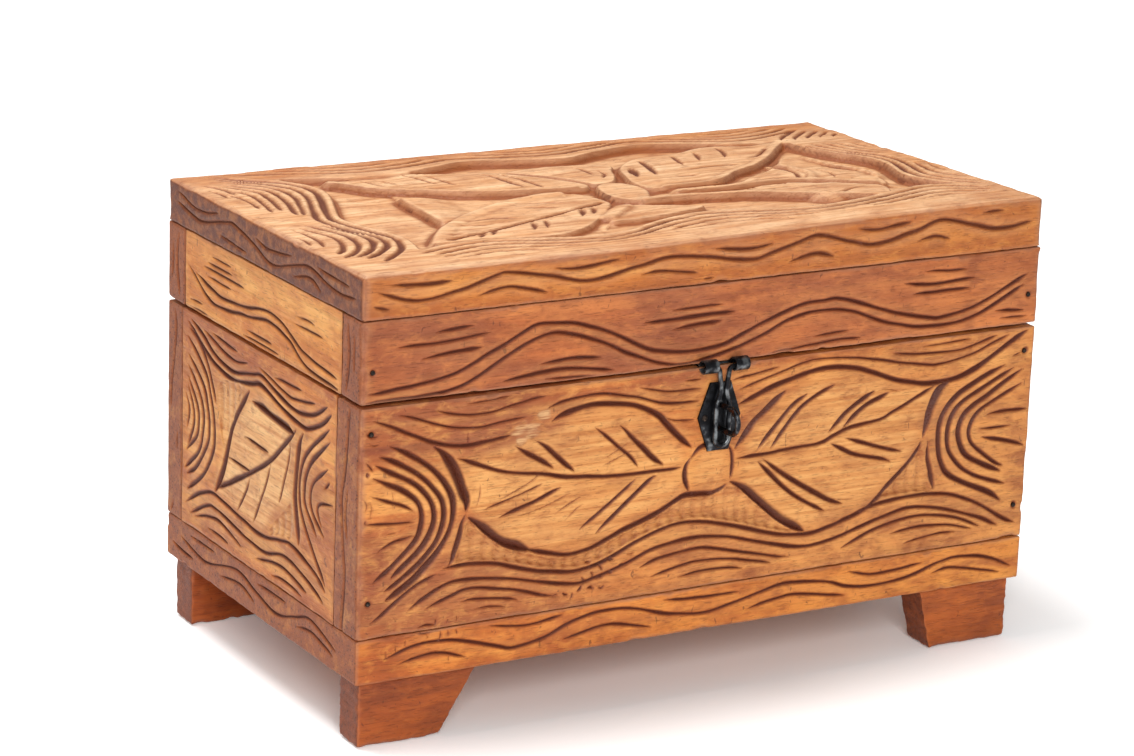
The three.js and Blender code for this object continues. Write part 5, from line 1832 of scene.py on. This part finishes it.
def add_hasp_leaf():
    """The leaf lies between lid and case, and its two ears are bent down and rolled into knuckles"""
    low, high = frame_box("hasp_hinge_leaf")
    knuckle = low[1:] + KNUCKLE_RADIUS
    roll = KNUCKLE_RADIUS - HASP_SHEET / 2
    view = side_view(HASP_X)
    front = FRONT_FACE + 0.2
    flat = [(high[1] - TRIM, knuckle[1]), (front, knuckle[1])]
    skins = [sheet(flat, HASP_SHEET, high[0] - low[0], 0, view)]
    bend = [(front + 3, knuckle[1]), (front, knuckle[1]), (knuckle[0] + roll + 0.25, knuckle[1] + 0.2)]
    line = bend + arc(*knuckle, roll, 12, 335)
    for side in (-1, 1):
        middle = side * (KNUCKLE_GAP + KNUCKLE_LENGTH) / 2
        skins.append(sheet(line, HASP_SHEET, KNUCKLE_LENGTH, middle, view))
    add_iron("hasp_hinge_leaf", skins, WORN_IRON)


def add_hasp_loop():
    """One wire: pins in the knuckles, a pinched neck and a long eye"""
    low, high = frame_box("hasp_loop")
    knuckle = KNUCKLE_GAP / 2
    bend = knuckle - LOOP_NECK
    pin = high[0] - HASP_X - TRIM
    neck = arc(knuckle, bend, bend, -90, -180, 4)[1:]
    shoulder = ((LOOP_PINCH + LOOP_EYE) / 2, 18.2)
    right = [(pin, 0), (knuckle + bend, 0), (knuckle, 0), *neck, (LOOP_PINCH, LOOP_PINCH_DROP), shoulder,
             (LOOP_EYE, LOOP_SHOULDER_DROP), (LOOP_EYE, (LOOP_SHOULDER_DROP + LOOP_DROP) / 2),
             (LOOP_EYE, LOOP_DROP)]
    left = [(-u, v) for u, v in right[::-1]]
    line = right + arc(0, LOOP_DROP, LOOP_EYE, 0, 180, 8)[1:-1] + left
    view = hanging_view(HASP_X, (low[1] + high[1]) / 2, high[2] - LOOP_WIRE / 2)
    add_iron("hasp_loop", [wire(line, LOOP_WIRE, view, 41)], WORN_IRON)


def add_staple():
    """One wire bent round a bow, whose legs pass through the front board and are clinched inside"""
    low, high = frame_box("staple")
    bow = low[1] + STAPLE_WIRE / 2 + STAPLE_BOW
    clinch = high[1] - STAPLE_WIRE / 2
    turn = STAPLE_BOW + STAPLE_BEND
    upper = [(clinch, STAPLE_BOW + STAPLE_CLINCH - TRIM), (clinch, turn + 2), (clinch, turn),
             *arc(clinch - STAPLE_BEND, turn, STAPLE_BEND, 0, -90, 4)[1:],
             ((clinch + bow) / 2, STAPLE_BOW), (bow, STAPLE_BOW)]
    lower = [(u, -v) for u, v in upper[::-1]]
    line = upper + arc(bow, 0, STAPLE_BOW, 90, 270, 8)[1:-1] + lower
    view = side_view(HASP_X, (low[2] + high[2]) / 2)
    add_iron("staple", [wire(line, STAPLE_WIRE, view, 42)], RUSTED_IRON)


def add_staple_plate():
    """A six-cornered plate, cut by eye: rings of points from its back to its front, each a little smaller"""
    low, high = frame_box("staple_plate")
    middle = (low[2] + high[2]) / 2
    half, tall = PLATE_HALF
    corners = [(-PLATE_END, tall), (-half, 0), (-PLATE_END, -tall),
               (PLATE_END, -tall), (half, 0), (PLATE_END, tall)]
    outline = np.array([np.array(a) * (1 - k / 6) + np.array(b) * k / 6
                        for a, b in zip(corners, corners[1:] + corners[:1]) for k in range(6)])
    ragged = PLATE_RAGGED * (1 + wander(outline, 4, 43))[:, None] / 2
    back = high[1]
    front = low[1]
    rings = []
    for y, inset in ((back, 0.3), (back - 0.3, 0.05), (front + 0.5, 0.05), (front + 0.15, 0.25),
                     (front + 0.03, 0.7)):
        ring = outline * (1 - (inset + ragged) / half)
        rings.append(np.column_stack([HASP_X + ring[:, 0], np.full(len(ring), y), middle + ring[:, 1]]))
    add_iron("staple_plate", [skin(np.array(rings))])


# Hinges at the back: a leaf on the case, a leaf on the lid and a pin
HINGE_SHEET = 1.2
HINGE_BARREL = 3.4
HINGE_FIT = 0.3


def add_hinge_leaf(node, level, knuckles, pin):
    """A leaf on the back, under the pin (level -1) or over it (level 1), rolled round it in knuckles"""
    low, high = frame_box(node)
    middle, axis_y, axis_z = pin
    view = side_view(middle)
    width = high[0] - low[0]
    flat = low[1] + HINGE_SHEET / 2
    outer = low[2] + TRIM if level < 0 else high[2] - TRIM
    inner = axis_z + level * (HINGE_BARREL + HINGE_FIT)
    skins = [sheet([(flat, outer), (flat, inner)], HINGE_SHEET, width, 0, view)]
    roll = HINGE_BARREL - HINGE_SHEET / 2
    curl = arc(axis_y, axis_z, roll, 180, 180 + level * 320)
    line = [(flat, inner + level * 3), (flat, inner), (flat + 0.1, axis_z + level * 1.6), *curl]
    for knuckle in knuckles:
        skins.append(sheet(line, HINGE_SHEET, width / 3 - HINGE_FIT, knuckle * width / 3, view))
    add_iron(node, skins)


def add_hinges():
    for side in ("left", "right"):
        low, high = frame_box("hinge_pin_" + side)
        pin = (low + high) / 2
        rod = [(low[0] + TRIM, 0), (pin[0], 0), (high[0] - TRIM, 0)]
        add_iron("hinge_pin_" + side, [wire(rod, high[1] - low[1], rod_view(*pin[1:]), 44)])
        add_hinge_leaf("hinge_case_leaf_" + side, -1, (-1, 1), pin)
        add_hinge_leaf("hinge_lid_leaf_" + side, 1, (0,), pin)


# Nails, turned about their own axes. A head's profile is the way in from its outer face, in head lengths,
# and the share of the radius. A point's is the way in, in nail lengths, and that share.
NAIL_HEAD = ((0.0, 0.3), (0.05, 0.62), (0.2, 0.88), (0.5, 1.0), (0.95, 1.0), (1.0, 0.95), (1.02, 0.6))
NAIL_POINT = ((0.9, 0.55), (1.0, 0.08))
NAIL_SIDES = 18


def nail_head(node, middle, axis, others):
    """The places along the axis of the corners of the node's head, its widest part"""
    corners = np.array([node.matrix_world @ v.co for v in node.data.vertices]) / MM
    away = np.hypot(*(corners[:, others] - middle[others]).T)
    return corners[away > 0.95 * away.max(), axis]


def add_nail(name, node):
    low, high = frame_box(name)
    middle = (low + high) / 2
    axis = int(np.argmax(high - low))
    others = [other for other in range(3) if other != axis]
    head = nail_head(node, middle, axis, others)
    start, way = (high, -1) if head.mean() > middle[axis] else (low, 1)
    length = high[axis] - low[axis] - TRIM
    radius = (high - low)[others].min() / 2 - TRIM
    profile = [(TRIM + share * np.ptp(head), size) for share, size in NAIL_HEAD]
    profile += [(share * length, size) for share, size in NAIL_POINT]
    angles = np.linspace(0, 2 * math.pi, NAIL_SIDES, endpoint=False)
    rings = np.zeros((len(profile), NAIL_SIDES, 3))
    for ring, (depth, size) in zip(rings, profile):
        ring[:, axis] = start[axis] + way * depth
        ring[:, others[0]] = middle[others[0]] + size * radius * np.cos(angles)
        ring[:, others[1]] = middle[others[1]] + size * radius * np.sin(angles)
    add_iron(name, [skin(rings)], NAIL_STEEL)


def add_nails():
    for name, node in frame["nodes"].items():
        if "nail" in name:
            add_nail(name, node)


bpy.context.scene.view_settings.view_transform = "Standard"
add_camera()
add_case_boards()
add_lid_boards()
add_feet()
add_hasp_leaf()
add_hasp_loop()
add_staple()
add_staple_plate()
add_hinges()
add_nails()
add_floor()
add_light()
